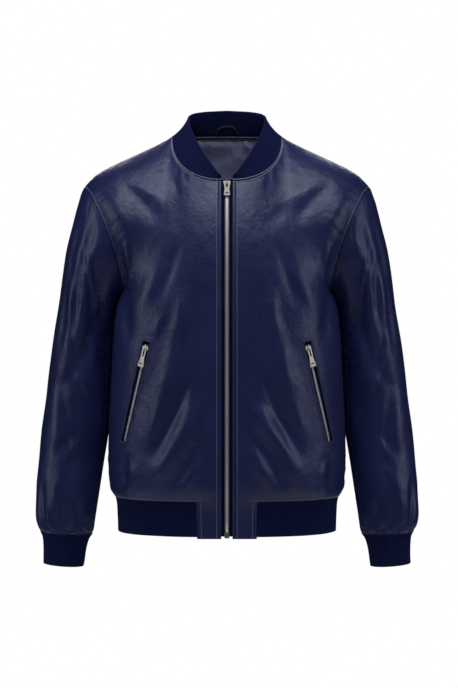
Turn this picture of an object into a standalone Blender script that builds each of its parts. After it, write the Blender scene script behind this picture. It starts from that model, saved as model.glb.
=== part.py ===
"""A zip-front bomber jacket in smooth leather, filled out as if it were worn.

Metres, +Z up, -Y the front of the wearer, +X the wearer's left. The origin is the middle of
the neck at the height where the shoulder seams meet the collar, where the wearer holds it up.

Every panel is a wall made from a grid of points on one smooth surface: the torso from rings
below the armpit and from arcs that run over the chest to the neckline and shoulder seam above
it, and each sleeve from slanting rings that start at the armhole.
"""

import math

import bmesh
import bpy
import numpy as np

# ---------------------------------------------------------------- driving sizes
SEAM = 0.0003  # clear gap between two pieces that are sewn together
TRIM = 0.5 * SEAM  # each of the two stands back this far from their seam
LEATHER = 0.0016  # thickness of the leather walls
KNIT = 0.0024  # thickness of the rib knit, folded double, without its ridges
RIDGE = 0.0006  # height of a knitted ridge
LINING = 0.0008
TAPE = 0.0008  # woven zip tape

ZIP_GAP = 0.009  # from the centre front to the folded leather edge
HEM_TOP, HEM_BOTTOM = -0.610, -0.6675
BLOCK_BOTTOM = -0.6705  # the leather blocks reach a little lower than the rib
TAB_EDGE = 0.049  # the leather hem blocks end this far from the centre front
ARMPIT = -0.262

NECK_SIDE = 0.0935  # half the neck's width, at the shoulder seams
NECK_FRONT, NECK_DROP = 0.088, 0.0795  # how far forward and down the neckline goes
NECK_BACK, NECK_RISE = 0.074, 0.0115
NECK_ROUND, NECK_FALL = 0.93, 0.90  # below 1, the neckline is fuller than an ellipse

# The shoulder seam, from the neck to the top of the sleeve.
SHOULDER_COLUMNS = ("share", "z")
SHOULDER = (
    (0.00, 0.0000),
    (0.14, -0.0115),
    (0.35, -0.0265),
    (0.55, -0.0405),
    (0.75, -0.0555),
    (0.88, -0.0690),
    (1.00, -0.0890),
)

# Directions in which a panel arrives at the neckline and the shoulder seam, by its share of the
# width. Across is towards the armhole, over is towards the other panel.
ARRIVE_COLUMNS = ("width_share", "across", "over", "up")
FRONT_ARRIVE = (
    (0.00, 0.00, 0.50, 0.87),
    (0.20, -0.12, 0.56, 0.82),
    (0.34, -0.22, 0.72, 0.66),
    (0.60, 0.00, 0.90, 0.43),
    (1.00, 0.00, 0.93, 0.37),
)
BACK_ARRIVE = (
    (0.00, 0.00, 0.62, 0.78),
    (0.20, -0.08, 0.66, 0.74),
    (0.34, -0.16, 0.82, 0.54),
    (0.60, 0.00, 0.93, 0.37),
    (1.00, 0.00, 0.95, 0.30),
)

NECK_SHARE = 0.34  # share of a panel's width that ends at the neckline, not the shoulder
# How strongly the chest's arcs follow their direction at the armpit and at the top.
LEAVE_PULL, ARRIVE_PULL = 0.95, 1.10
BELOW_ARMPIT = 0.03  # the direction at the armpit is read over this height

# Rings of the torso, from the hem seam up to the armpit.
BODY_COLUMNS = ("z", "half_width", "front", "centre_front", "back", "square")
BODY = (
    (HEM_TOP, 0.1885, 0.137, 0.1370, 0.113, 2.35),
    (-0.5960, 0.1960, 0.147, 0.1395, 0.125, 2.35),
    (-0.5700, 0.2000, 0.152, 0.1430, 0.131, 2.35),
    (-0.5150, 0.2005, 0.151, 0.1465, 0.130, 2.35),
    (-0.4400, 0.1978, 0.149, 0.1470, 0.126, 2.38),
    (-0.3800, 0.1945, 0.148, 0.1465, 0.127, 2.40),
    (-0.3200, 0.1908, 0.146, 0.1455, 0.130, 2.40),
    (-0.2850, 0.1866, 0.144, 0.1440, 0.132, 2.40),
    (ARMPIT, 0.1800, 0.142, 0.1420, 0.132, 2.40),
)
CENTRE_FLAT = 0.035  # half the width over which the front is held back along the zip

# Rings of the hem band, from its seam down.
BAND_COLUMNS = ("z", "half_width", "front", "back")
BAND = (
    (HEM_TOP, 0.1885, 0.1370, 0.113),
    (-0.6190, 0.1865, 0.1345, 0.110),
    (-0.6400, 0.1850, 0.1315, 0.107),
    (BLOCK_BOTTOM, 0.1840, 0.1300, 0.106),
)
BAND_SQUARE = 2.35

# Rings of a sleeve, from the armhole to the cuff seam. Each ring crosses from its outer point to
# its inner one; front and back are its half depths, and scoop draws its front and back inwards.
SLEEVE_COLUMNS = ("x_out", "z_out", "x_in", "z_in", "front", "back", "scoop", "forward")
SLEEVE = (
    (0.2445, -0.0890, 0.1800, -0.2620, 0.0640, 0.0680, 0.0170, 0.0000),
    (0.2535, -0.1150, 0.1833, -0.2665, 0.0655, 0.0690, 0.0130, -0.0030),
    (0.2632, -0.1500, 0.1860, -0.2740, 0.0665, 0.0695, 0.0085, -0.0065),
    (0.2735, -0.1900, 0.1893, -0.2860, 0.0665, 0.0690, 0.0050, -0.0105),
    (0.2805, -0.2350, 0.1912, -0.3040, 0.0655, 0.0680, 0.0020, -0.0145),
    (0.2877, -0.2850, 0.1930, -0.3300, 0.0640, 0.0665, 0.0005, -0.0185),
    (0.2965, -0.3380, 0.1948, -0.3660, 0.0620, 0.0640, 0.0000, -0.0215),
    (0.3032, -0.3900, 0.1970, -0.4070, 0.0600, 0.0615, 0.0000, -0.0235),
    (0.3093, -0.4400, 0.1993, -0.4500, 0.0580, 0.0590, 0.0000, -0.0230),
    (0.3161, -0.4920, 0.2018, -0.4980, 0.0560, 0.0565, 0.0000, -0.0200),
    (0.3212, -0.5500, 0.2100, -0.5530, 0.0535, 0.0540, 0.0000, -0.0130),
    (0.3258, -0.6080, 0.2182, -0.6095, 0.0505, 0.0505, 0.0000, -0.0050),
    (0.3262, -0.6480, 0.2243, -0.6495, 0.0475, 0.0475, 0.0000, 0.0000),
    (0.3165, -0.6705, 0.2290, -0.6735, 0.0425, 0.0425, 0.0000, 0.0015),
)
SLEEVE_RADIUS, ROW_SPACING = 0.055, 0.045  # lay the folds out flat round and along a sleeve
CUFF = (
    (0.3165, -0.6705, 0.2290, -0.6735, 0.0425, 0.0425, 0.0000, 0.0015),
    (0.3127, -0.6790, 0.2352, -0.6825, 0.0385, 0.0385, 0.0000, 0.0030),
    (0.3112, -0.6960, 0.2400, -0.7000, 0.0360, 0.0360, 0.0000, 0.0045),
    (0.3110, -0.7232, 0.2437, -0.7285, 0.0345, 0.0345, 0.0000, 0.0065),
)

# Upper edge of the collar: round is 0 at the centre front, 0.5 at the shoulder, 1 at the back.
COLLAR_COLUMNS = ("round", "x", "y", "z")
COLLAR = (
    (0.00, 0.0120, -0.0915, -0.0735),
    (0.07, 0.0245, -0.0835, -0.0565),
    (0.15, 0.0385, -0.0690, -0.0350),
    (0.27, 0.0525, -0.0440, -0.0085),
    (0.40, 0.0625, -0.0180, 0.0150),
    (0.50, 0.0660, 0.0000, 0.0300),
    (0.65, 0.0620, 0.0270, 0.0415),
    (0.82, 0.0420, 0.0530, 0.0490),
    (1.00, 0.0000, 0.0660, 0.0530),
)
COLLAR_HOLLOW = 0.004  # how far the collar's middle draws in as it leaves the shoulder

# Largest folds. On the torso a fold runs from one point to another in the view it shows in, and
# its columns are x_from, z_from, x_to, z_to, width and depth. Depth is inwards, so a ridge has a
# minus sign.
FRONT_FOLDS = (
    (0.176, -0.215, 0.166, -0.345, 0.012, 0.0050),
    (0.174, -0.088, 0.108, -0.152, 0.016, 0.0035),
    (0.080, -0.182, 0.116, -0.290, 0.013, 0.0020),
    (0.070, -0.290, 0.128, -0.520, 0.014, -0.0040),
    (0.056, -0.390, 0.120, -0.540, 0.014, 0.0035),
    (0.030, -0.430, 0.120, -0.577, 0.015, -0.0045),
    (0.022, -0.480, 0.095, -0.592, 0.011, 0.0030),
    (0.165, -0.535, 0.178, -0.600, 0.010, 0.0030),
)
BACK_FOLDS = (
    (0.172, -0.200, 0.150, -0.340, 0.014, 0.0050),
    (0.135, -0.110, 0.055, -0.170, 0.020, 0.0030),
    (0.120, -0.330, 0.060, -0.410, 0.022, 0.0035),
    (0.150, -0.430, 0.105, -0.585, 0.017, 0.0045),
    (0.085, -0.480, 0.050, -0.600, 0.014, 0.0035),
    (0.020, -0.520, 0.012, -0.600, 0.012, 0.0025),
)
# On a sleeve the columns are turn_from in degrees, row_from, turn_to, row_to, width and depth.
SLEEVE_FOLDS = (
    (62, 0.6, 72, 5.6, 0.010, 0.0045),
    (36, 1.2, 47, 6.4, 0.010, 0.0040),
    (98, 1.6, 104, 7.0, 0.013, 0.0060),
    (130, 4.2, 70, 7.6, 0.012, 0.0040),
    (58, 7.4, 96, 10.4, 0.012, 0.0035),
    (40, 10.6, 52, 13.0, 0.008, 0.0045),
    (82, 11.0, 78, 13.0, 0.008, 0.0035),
    (118, 11.2, 108, 13.0, 0.008, 0.0035),
    (-60, 0.8, -72, 5.8, 0.011, 0.0045),
    (-100, 1.8, -108, 7.0, 0.013, 0.0055),
    (-128, 5.6, -64, 8.2, 0.012, 0.0050),
    (-120, 7.4, -60, 9.2, 0.011, 0.0045),
    (-50, 10.8, -58, 13.0, 0.008, 0.0040),
    (-96, 11.0, -92, 13.0, 0.008, 0.0040),
    (-136, 11.2, -126, 13.0, 0.008, 0.0035),
    (4, 10.8, 8, 13.0, 0.008, 0.0035),
)

# Slanted pocket zips, as they lie in the front view.
POCKET_TOP = (0.1320, -0.3520)
POCKET_BOTTOM = (0.1700, -0.5110)
POCKET_GAP = 0.0065  # half the width of the pocket mouth, where its zip shows
POCKET_OVERRUN = 0.004  # the mouth is cut this far past both ends
POCKET_CUT = (0.006, -0.004)  # the cutter reaches this far over and under the leather's face
TAPE_OVERRUN = 0.008  # and the tapes run this far past them
POCKET_TAPE_EDGE = 0.0125  # from the middle of the zip to a tape's outer edge

# The hanging loop: half its span, its rise, and half its width and thickness.
LOOP_SPAN, LOOP_RISE, LOOP_WIDE, LOOP_THICK = 0.0185, 0.0132, 0.0011, 0.0007
LOOP_FOOT = 0.0015  # height of its ends over the neck seam
LOOP_CLEAR = 0.0016  # from the inner face of the collar to the loop

# Grids: intervals along the neckline, the shoulder, the rows under and over the armpit.
NECK_STEPS, SHOULDER_STEPS = 6, 8
LOW_ROWS, HIGH_ROWS = 10, 12
LINING_ROWS = 9  # how many rows of the back the lining covers, from the top
LINING_REACH = 0.72  # how far into the last row it reaches
LOOP_STEPS = 13
HEM_ROW = -0.618  # height of the row where the hem band leaves its seam
RIBS_PER_COLUMN = {"collar": 4, "cuff": 3, "hem": 4}
CUFF_COLUMNS, CUFF_ROWS = 18, (0, 0.55, 1.5, 3)

NAVY = (0.022, 0.026, 0.085)
KNIT_NAVY = (0.010, 0.014, 0.070)
LINING_NAVY = (0.020, 0.024, 0.050)
TAPE_NAVY = (0.008, 0.010, 0.035)
NICKEL = (0.62, 0.60, 0.56)

SQUARE = ((1, -1), (1, 1), (-1, 1), (-1, -1))  # the corners of a bar's section


# ---------------------------------------------------------------- small helpers
def column(table, names, name):
    return np.array([row[names.index(name)] for row in table], float)


def curve(xs, ys, x):
    """A smooth curve through the points (xs, ys), read at x. xs rises."""
    xs, ys, x = np.asarray(xs, float), np.asarray(ys, float), np.asarray(x, float)
    slope = np.gradient(ys, xs)
    i = np.clip(np.searchsorted(xs, x, side="right") - 1, 0, len(xs) - 2)
    span = xs[i + 1] - xs[i]
    t = (x - xs[i]) / span
    return (
        (1 + 2 * t) * (1 - t) ** 2 * ys[i]
        + t * (1 - t) ** 2 * span * slope[i]
        + t * t * (3 - 2 * t) * ys[i + 1]
        + t * t * (t - 1) * span * slope[i + 1]
    )


def unit(v):
    return v / np.maximum(np.linalg.norm(v, axis=-1, keepdims=True), 1e-12)


def step(low, high, x):
    t = np.clip((x - low) / (high - low), 0, 1)
    return t * t * (3 - 2 * t)


def fold_depth(px, pz, x0, z0, x1, z1, width, depth):
    """How far a fold from (x0, z0) to (x1, z1) draws a point in. It fades out at both ends."""
    dx, dz = x1 - x0, z1 - z0
    t = ((px - x0) * dx + (pz - z0) * dz) / (dx * dx + dz * dz)
    away = np.hypot(px - x0 - dx * np.clip(t, 0, 1), pz - z0 - dz * np.clip(t, 0, 1))
    fade = step(-0.15, 0.25, t) * (1 - step(0.80, 1.10, t))
    return depth * fade * np.exp(-((away / width) ** 2))


# ---------------------------------------------------------------- the torso's surface
def body_ring(z, u, side):
    """Points of the torso at height z. u is 0 at the centre front or back and 1 at the side."""
    heights = column(BODY, BODY_COLUMNS, "z")
    half, front, middle, back, square = (
        curve(heights, column(BODY, BODY_COLUMNS, name), z) for name in BODY_COLUMNS[1:]
    )
    power = 2 / square
    start = ZIP_GAP if side < 0 else 0.0
    x = start + (half - start) * np.sin(u * math.pi / 2) ** power
    depth = front if side < 0 else back
    y = side * depth * np.clip(np.cos(u * math.pi / 2), 0, 1) ** power
    if side < 0:
        y = y + (front - middle) * np.exp(-((x / CENTRE_FLAT) ** 2))
    return np.stack([x, y, z + 0 * x], -1)


def top_edge(u, side):
    """The neckline, from u = 0 at the centre to the shoulder, and then the shoulder seam."""
    turn = np.clip(u / NECK_SHARE, 0, 1) * math.pi / 2
    along = np.clip((u - NECK_SHARE) / (1 - NECK_SHARE), 0, 1)
    start = ZIP_GAP if side < 0 else 0.0
    neck_x = start + (NECK_SIDE - start) * np.sin(turn) ** NECK_ROUND
    if side < 0:
        neck_y, neck_z = -NECK_FRONT * np.cos(turn), -NECK_DROP * np.cos(turn) ** NECK_FALL
    else:
        neck_y, neck_z = NECK_BACK * np.cos(turn), NECK_RISE * np.cos(turn)
    x = neck_x + (SLEEVE[0][0] - NECK_SIDE) * along
    shares, drops = (column(SHOULDER, SHOULDER_COLUMNS, name) for name in SHOULDER_COLUMNS)
    return np.stack([x, neck_y, neck_z + curve(shares, drops, along)], -1)


def body_plain(u, v, side):
    """The torso without folds. v is 0 at the hem seam, 1 at the armpit and 2 at the top."""
    low = body_ring(HEM_TOP + (ARMPIT - HEM_TOP) * np.clip(v, 0, 1), u, side)
    s = np.clip(v - 1, 0, 1)[..., None]
    foot, top = body_ring(ARMPIT + 0 * u, u, side), top_edge(u, side)
    rise = unit(foot - body_ring(ARMPIT - BELOW_ARMPIT + 0 * u, u, side))
    table = FRONT_ARRIVE if side < 0 else BACK_ARRIVE
    shares, across, over, up = (column(table, ARRIVE_COLUMNS, name) for name in ARRIVE_COLUMNS)
    arrive = unit(
        np.stack([curve(shares, across, u), -side * curve(shares, over, u), curve(shares, up, u)], -1)
    )
    reach = np.linalg.norm(top - foot, axis=-1)[..., None]
    high = (
        (1 + 2 * s) * (1 - s) ** 2 * foot
        + s * (1 - s) ** 2 * reach * LEAVE_PULL * rise
        + s * s * (3 - 2 * s) * top
        + s * s * (s - 1) * reach * ARRIVE_PULL * arrive
    )
    if not np.allclose(u, 1):
        edge = body_plain(np.ones_like(u), v, side)
        goal = armhole(math.pi * (1 - s[..., 0]), side)
        pull = step(0.30, 1.0, u)[..., None] ** 1.5
        high = high + pull * (goal - edge) * (s > 0)
    return np.where((v > 1)[..., None], high, low)


def body(u, v, side):
    """The torso with its folds."""
    points = body_plain(u, v, side)
    outward = unit(points * (1.0, 1.6, 0.0))
    hold = (1 - step(1.55, 1.95, v)) * step(0.0, 0.10, v) * (1 - step(0.90, 1.0, u))
    hold = hold * (step(0.02, 0.16, u) if side < 0 else 1)
    pull = sum(
        fold_depth(points[..., 0], points[..., 2], *fold)
        for fold in (FRONT_FOLDS if side < 0 else BACK_FOLDS)
    )
    return points - outward * (hold * pull)[..., None]


# ---------------------------------------------------------------- sleeves and cuffs
def tube(table, turn, row):
    """A sleeve or cuff. turn is 0 outside, pi/2 in front, pi inside; row is the table's row."""
    rows = np.arange(len(table))
    x0, z0, x1, z1, front, back, scoop, forward = (
        curve(rows, column(table, SLEEVE_COLUMNS, name), row) for name in SLEEVE_COLUMNS
    )
    c, s = np.cos(turn), np.sin(turn)
    draw = scoop * np.where(s > 0, s, -0.4 * s)
    x = (x0 + x1) / 2 + (x0 - x1) / 2 * c - draw
    z = (z0 + z1) / 2 + (z0 - z1) / 2 * c
    y = -forward - np.where(s > 0, front, back) * s
    return np.stack([x, y, z], -1)


def armhole(turn, side):
    return tube(SLEEVE, -side * turn, 0 * turn)


def sleeve(turn, row):
    """A sleeve with its folds, which fade out at the armhole seam."""
    points = tube(SLEEVE, turn, row)
    middle = 0.5 * (tube(SLEEVE, 0 * turn, row) + tube(SLEEVE, 0 * turn + math.pi, row))
    outward = unit(points - middle)
    degrees = (np.degrees(turn) + 180) % 360 - 180
    around, along = np.radians(degrees) * SLEEVE_RADIUS, row * ROW_SPACING
    pull = 0
    for turn0, row0, turn1, row1, width, depth in SLEEVE_FOLDS:
        start = math.radians(turn0) * SLEEVE_RADIUS, row0 * ROW_SPACING
        end = math.radians(turn1) * SLEEVE_RADIUS, row1 * ROW_SPACING
        pull = pull + fold_depth(around, along, *start, *end, width, depth)
    near_body = step(150, 178, np.abs(degrees))
    hold = step(0.3, 1.3, row) * (1 - 0.9 * near_body) * (1 - step(12.7, 13.0, row))
    return points - outward * (hold * pull)[..., None]


# ---------------------------------------------------------------- collar and band
def collar(around, height):
    """around is 0 at the centre front and 1 at the centre back; height is 0 at the seam."""
    front_u = NECK_SHARE * np.clip(around * 2, 0, 1)
    back_u = NECK_SHARE * np.clip(2 - around * 2, 0, 1)
    at_front = (around < 0.5)[..., None]
    seam = np.where(at_front, top_edge(front_u, -1), top_edge(back_u, 1))
    rounds = column(COLLAR, COLLAR_COLUMNS, "round")
    top = np.stack(
        [curve(rounds, column(COLLAR, COLLAR_COLUMNS, axis), around) for axis in "xyz"], -1
    )
    h = height[..., None]
    hollow = COLLAR_HOLLOW * (np.sin(math.pi * around) * 4 * height * (1 - height))[..., None]
    return seam + (top - seam) * h - unit(seam * (1, 1, 0)) * hollow


def band(u, z, side):
    """The hem band's ring at height z."""
    heights = column(BAND, BAND_COLUMNS, "z")[::-1]
    half, front, back = (
        curve(heights, column(BAND, BAND_COLUMNS, name)[::-1], z) for name in BAND_COLUMNS[1:]
    )
    power = 2 / BAND_SQUARE
    start = ZIP_GAP if side < 0 else 0.0
    x = start + (half - start) * np.sin(u * math.pi / 2) ** power
    y = side * (front if side < 0 else back) * np.clip(np.cos(u * math.pi / 2), 0, 1) ** power
    return np.stack([x, y, z + 0 * x], -1)


# ---------------------------------------------------------------- from grids to walls
def normals(points, outside):
    """Unit normals of a grid of points. outside is a rough direction that points out."""
    du = np.gradient(points, axis=0)
    dv = np.gradient(points, axis=1)
    n = unit(np.cross(du, dv))
    return n * np.where(np.sum(n * outside, -1) < 0, -1, 1)[..., None]


def ring_normals(points, outside):
    """The same for a closed ring of columns, whose first column isn't repeated."""
    wide = np.concatenate([points[-1:], points, points[:1]])
    rim = np.concatenate([outside[-1:], outside, outside[:1]])
    return normals(wide, rim)[1:-1]


def mitre(a, b):
    """The direction in which two walls with outward normals a and b share an edge."""
    m = unit(a + b)
    return m / np.maximum(np.sum(m * a, -1, keepdims=True), 0.6)


def level_at(out, row):
    """The same normals, with those of one row turned level, where two walls meet end to end."""
    out = out.copy()
    out[:, row, 2] = 0
    out[:, row] = unit(out[:, row])
    return out


def trimmed(points, edges, by):
    """How far each point of a grid moves when the named edges are drawn back from a seam."""
    shift = np.zeros_like(points)
    for edge in edges:
        if edge == "start":
            shift[0] += unit(points[1] - points[0]) * by
        elif edge == "end":
            shift[-1] += unit(points[-2] - points[-1]) * by
        elif edge == "bottom":
            shift[:, 0] += unit(points[:, 1] - points[:, 0]) * by
        else:
            shift[:, -1] += unit(points[:, -2] - points[:, -1]) * by
    return shift


def make_object(name, vertices, faces, colour, metallic=0.0, roughness=0.5):
    mesh = bpy.data.meshes.new(name)
    mesh.from_pydata([tuple(map(float, v)) for v in vertices], [], faces)
    shape = bmesh.new()
    shape.from_mesh(mesh)
    bmesh.ops.recalc_face_normals(shape, faces=shape.faces)
    if shape.calc_volume(signed=True) < 0:
        bmesh.ops.reverse_faces(shape, faces=shape.faces)
    shape.to_mesh(mesh)
    shape.free()
    mesh.shade_smooth()
    mesh.set_sharp_from_angle(angle=math.radians(50))
    material = bpy.data.materials.new(name + "_material")
    material.use_nodes = True
    shader = material.node_tree.nodes["Principled BSDF"]
    shader.inputs["Base Color"].default_value = (*colour, 1)
    shader.inputs["Metallic"].default_value = metallic
    shader.inputs["Roughness"].default_value = roughness
    mesh.materials.append(material)
    made = bpy.data.objects.new(name, mesh)
    bpy.context.scene.collection.objects.link(made)
    return made


def rim(corners, where):
    """A four-cornered piece of a wall's edge, as two triangles split along its short diagonal."""
    a, b, c, d = corners
    first = np.linalg.norm(where[a] - where[c])
    second = np.linalg.norm(where[b] - where[d])
    return [[a, b, c], [a, c, d]] if first <= second else [[a, b, d], [b, c, d]]


def wall(name, outer, out, thickness, colour, closed=False, edges=(), paired=False):
    """A closed wall: a grid of outer points and the same points moved in along -out.

    Both faces are split into triangles along the same diagonals, so that walls made from one
    grid keep their distance. A paired grid has its mirror image in its first half.
    """
    shift = trimmed(outer, edges, TRIM)
    inner = outer - out * thickness + shift
    outer = outer + shift
    columns, rows = outer.shape[:2]
    where = np.concatenate([outer.reshape(-1, 3), inner.reshape(-1, 3)])
    half = columns * rows

    def at(i, j, layer=0):
        return (i % columns) * rows + j + layer * half

    faces = []
    spans = columns if closed else columns - 1
    for i in range(spans):
        for j in range(rows - 1):
            a, b, c, d = at(i, j), at(i + 1, j), at(i + 1, j + 1), at(i, j + 1)
            turned = paired and i < spans // 2
            for face in ([a, b, d], [b, c, d]) if turned else ([a, b, c], [a, c, d]):
                faces += [face, [n + half for n in reversed(face)]]
        for j in (0, rows - 1):
            faces += rim((at(i, j), at(i + 1, j), at(i + 1, j, 1), at(i, j, 1)), where)
    if not closed:
        for i in (0, columns - 1):
            for j in range(rows - 1):
                faces += rim((at(i, j), at(i, j + 1), at(i, j + 1, 1), at(i, j, 1)), where)
    return make_object(name, where, faces, colour)


def knitted(name, outer, out, ribs, closed=False, edges=(), plain_rows=(), colour=KNIT_NAVY):
    """A wall of rib knit: ribs ridges stand on the outer side of each column of the grid."""
    shift = trimmed(outer, edges, TRIM)
    inner = outer - out * KNIT + shift
    outer = outer + shift
    columns, rows = outer.shape[:2]
    spans = columns if closed else columns - 1
    parts = 2 * ribs
    fine = []
    for i in range(spans):
        following = (i + 1) % columns
        for k in range(parts):
            share = k / parts
            row = outer[i] * (1 - share) + outer[following] * share
            lift = unit(out[i] * (1 - share) + out[following] * share) * (RIDGE * (k % 2))
            lift[list(plain_rows)] = 0
            fine.append(row + lift)
    if not closed:
        fine.append(outer[-1])
    fine = np.array(fine)
    count = len(fine)
    vertices = np.concatenate([fine.reshape(-1, 3), inner.reshape(-1, 3)])
    base = count * rows
    faces = []
    for i in range(spans * parts):
        a, b = i * rows, ((i + 1) % count) * rows
        faces += [[a + j, b + j, b + j + 1, a + j + 1] for j in range(rows - 1)]
    for i in range(spans):
        a, b = base + i * rows, base + ((i + 1) % columns) * rows
        faces += [[a + j + 1, b + j + 1, b + j, a + j] for j in range(rows - 1)]
        for j in (0, rows - 1):
            rim = [((i * parts + k) % count) * rows + j for k in range(parts + 1)]
            faces.append([*rim, b + j, a + j])
    if not closed:
        for outer_start, inner_start in ((0, base), ((count - 1) * rows, len(vertices) - rows)):
            for j in range(rows - 1):
                o, i = outer_start + j, inner_start + j
                faces.append([o, o + 1, i + 1, i])
    return make_object(name, vertices, faces, colour, roughness=0.9)


def mirrored(points):
    return points * (-1, 1, 1)


def unturned(points):
    return points


HANDS = (("left", unturned), ("right", mirrored))


def both_sides(points):
    """A grid that starts at the middle, with its mirror image put before it."""
    return np.concatenate([mirrored(points[:0:-1]), points])


# ---------------------------------------------------------------- the panels
def panel_grid(side):
    """u, v and points of a half panel, from the centre to the side."""
    u = np.concatenate(
        [
            np.linspace(0, NECK_SHARE, NECK_STEPS + 1),
            np.linspace(NECK_SHARE, 1, SHOULDER_STEPS + 1)[1:],
        ]
    )
    heights = np.concatenate(
        [
            [0, 0.035, 0.08],
            np.linspace(0.16, 1, LOW_ROWS - 2),
            1 + np.arange(1, HIGH_ROWS + 1) / HIGH_ROWS,
        ]
    )
    u, v = np.meshgrid(u, heights, indexing="ij")
    return u, v, body(u, v, side)


def sleeve_grid():
    """Columns share their angles with the armhole's rows, so that the seam edges match."""
    turn = -math.pi + 2 * math.pi * np.arange(2 * HIGH_ROWS) / (2 * HIGH_ROWS)
    rows = np.concatenate([[0, 0.6, 1.3], np.arange(2, 13), [12.6, 13.0]])
    turn, row = np.meshgrid(turn, rows, indexing="ij")
    points = sleeve(turn, row)
    middle = 0.5 * (tube(SLEEVE, 0 * turn, row) + tube(SLEEVE, 0 * turn + math.pi, row))
    return points, ring_normals(points, points - middle)


class Jacket:
    """The grids of every large piece, with normals that agree along the seams."""

    def __init__(self):
        _, self.v, self.front = panel_grid(-1)
        _, _, self.back = panel_grid(1)
        self.front_out = normals(self.front, self.front * (1, 1, 0) + (0, -0.05, 0.05))
        self.back_out = normals(self.back, self.back * (1, 1, 0) + (0, 0.05, 0.05))
        self.front_out[0, :, 0] = 0
        self.back_out[0, :, 0] = 0
        self.sleeve, self.sleeve_out = sleeve_grid()
        self.collar, self.collar_out = self.collar_grid()
        self.sew()

    def collar_grid(self):
        half = np.linspace(0, 1, 2 * NECK_STEPS + 1)
        around, height = np.meshgrid(half, (0, 0.15, 0.55, 1.0), indexing="ij")
        points = collar(around, height)
        return points, normals(points, points * (1, 1, 0))

    def sew(self):
        """Shares one direction for the walls on both sides of each seam."""
        low = len(self.v[0]) - HIGH_ROWS  # rows 0 .. low-1 end at the armpit
        seam = mitre(self.front_out[-1, :low], self.back_out[-1, :low])
        self.front_out[-1, :low] = self.back_out[-1, :low] = seam
        ridge = mitre(self.front_out[NECK_STEPS:, -1], self.back_out[NECK_STEPS:, -1])
        self.front_out[NECK_STEPS:, -1] = self.back_out[NECK_STEPS:, -1] = ridge
        ring = self.sleeve_out[:, 0].copy()
        for i in range(HIGH_ROWS + 1):
            row = low - 1 + i
            # In front the armhole's rows run from turn pi to 0, and behind from -pi to 0.
            front_at, back_at = (2 * HIGH_ROWS - i) % (2 * HIGH_ROWS), i
            for out, at in ((self.front_out, front_at), (self.back_out, back_at)):
                shared = mitre(out[-1, row], ring[at])
                out[-1, row] = shared
                self.sleeve_out[at, 0] = shared
        for row, at in ((low - 1, 0), (-1, HIGH_ROWS)):
            whole = mitre(self.front_out[-1, row] + self.back_out[-1, row], ring[at])
            self.front_out[-1, row] = self.back_out[-1, row] = self.sleeve_out[at, 0] = whole
        for i in range(NECK_STEPS + 1):
            front_mitre = mitre(self.front_out[i, -1], self.collar_out[i, 0])
            back_mitre = mitre(self.back_out[i, -1], self.collar_out[-1 - i, 0])
            self.front_out[i, -1] = self.collar_out[i, 0] = front_mitre
            self.back_out[i, -1] = self.collar_out[-1 - i, 0] = back_mitre
        corner = mitre(
            self.front_out[NECK_STEPS, -1] + self.back_out[NECK_STEPS, -1],
            self.collar_out[NECK_STEPS, 1],
        )
        self.front_out[NECK_STEPS, -1] = self.back_out[NECK_STEPS, -1] = corner
        self.collar_out[NECK_STEPS, 0] = corner
        for out in (self.front_out, self.back_out, self.sleeve_out):
            flat_row = 0 if out is not self.sleeve_out else -1
            out[:, flat_row, 2] = 0
            out[:, flat_row] = unit(out[:, flat_row])

    def on_front(self, x, z):
        """The point of the front panel at (x, z) in the front view, and its outward normal."""
        inside = self.front[:, : len(self.v[0]) - HIGH_ROWS]
        out = self.front_out[:, : len(self.v[0]) - HIGH_ROWS]
        heights = inside[0, :, 2]
        j = int(np.clip(np.searchsorted(heights, z) - 1, 0, len(heights) - 2))
        q = (z - heights[j]) / (heights[j + 1] - heights[j])
        row = inside[:, j] * (1 - q) + inside[:, j + 1] * q
        lean = out[:, j] * (1 - q) + out[:, j + 1] * q
        i = int(np.clip(np.searchsorted(row[:, 0], x) - 1, 0, len(row) - 2))
        p = (x - row[i, 0]) / (row[i + 1, 0] - row[i, 0])
        return row[i] * (1 - p) + row[i + 1] * p, unit(lean[i] * (1 - p) + lean[i + 1] * p)


def make_panels(jacket):
    panels = {}
    for name, turn_over in HANDS:
        panels[name] = wall(
            "front_" + name,
            turn_over(jacket.front),
            turn_over(jacket.front_out),
            LEATHER,
            NAVY,
            edges=("end", "bottom", "top"),
        )
        wall(
            "sleeve_" + name,
            turn_over(jacket.sleeve),
            turn_over(jacket.sleeve_out),
            LEATHER,
            NAVY,
            closed=True,
            edges=("bottom", "top"),
        )
    wall(
        "back",
        both_sides(jacket.back),
        both_sides(jacket.back_out),
        LEATHER,
        NAVY,
        edges=("start", "end", "bottom", "top"),
        paired=True,
    )
    return panels


def make_collar(jacket):
    """The collar runs from one end at the zip, round the back, to the other."""
    half, out = jacket.collar[::-1], jacket.collar_out[::-1]
    knitted(
        "collar",
        both_sides(half),
        both_sides(out),
        ribs=RIBS_PER_COLUMN["collar"],
        edges=("bottom",),
        plain_rows=(0,),
    )


def make_cuffs():
    turn = -math.pi + 2 * math.pi * np.arange(CUFF_COLUMNS) / CUFF_COLUMNS
    turn, row = np.meshgrid(turn, CUFF_ROWS, indexing="ij")
    points = tube(CUFF, turn, row)
    middle = 0.5 * (tube(CUFF, 0 * turn, row) + tube(CUFF, 0 * turn + math.pi, row))
    out = level_at(ring_normals(points, points - middle), 0)
    for name, turn_over in HANDS:
        knitted(
            "cuff_" + name,
            turn_over(points),
            turn_over(out),
            ribs=RIBS_PER_COLUMN["cuff"],
            closed=True,
            edges=("bottom",),
            plain_rows=(0,),
        )


def band_grid(us, side, heights):
    u, z = np.meshgrid(us, heights, indexing="ij")
    return band(u, z, side)


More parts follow.
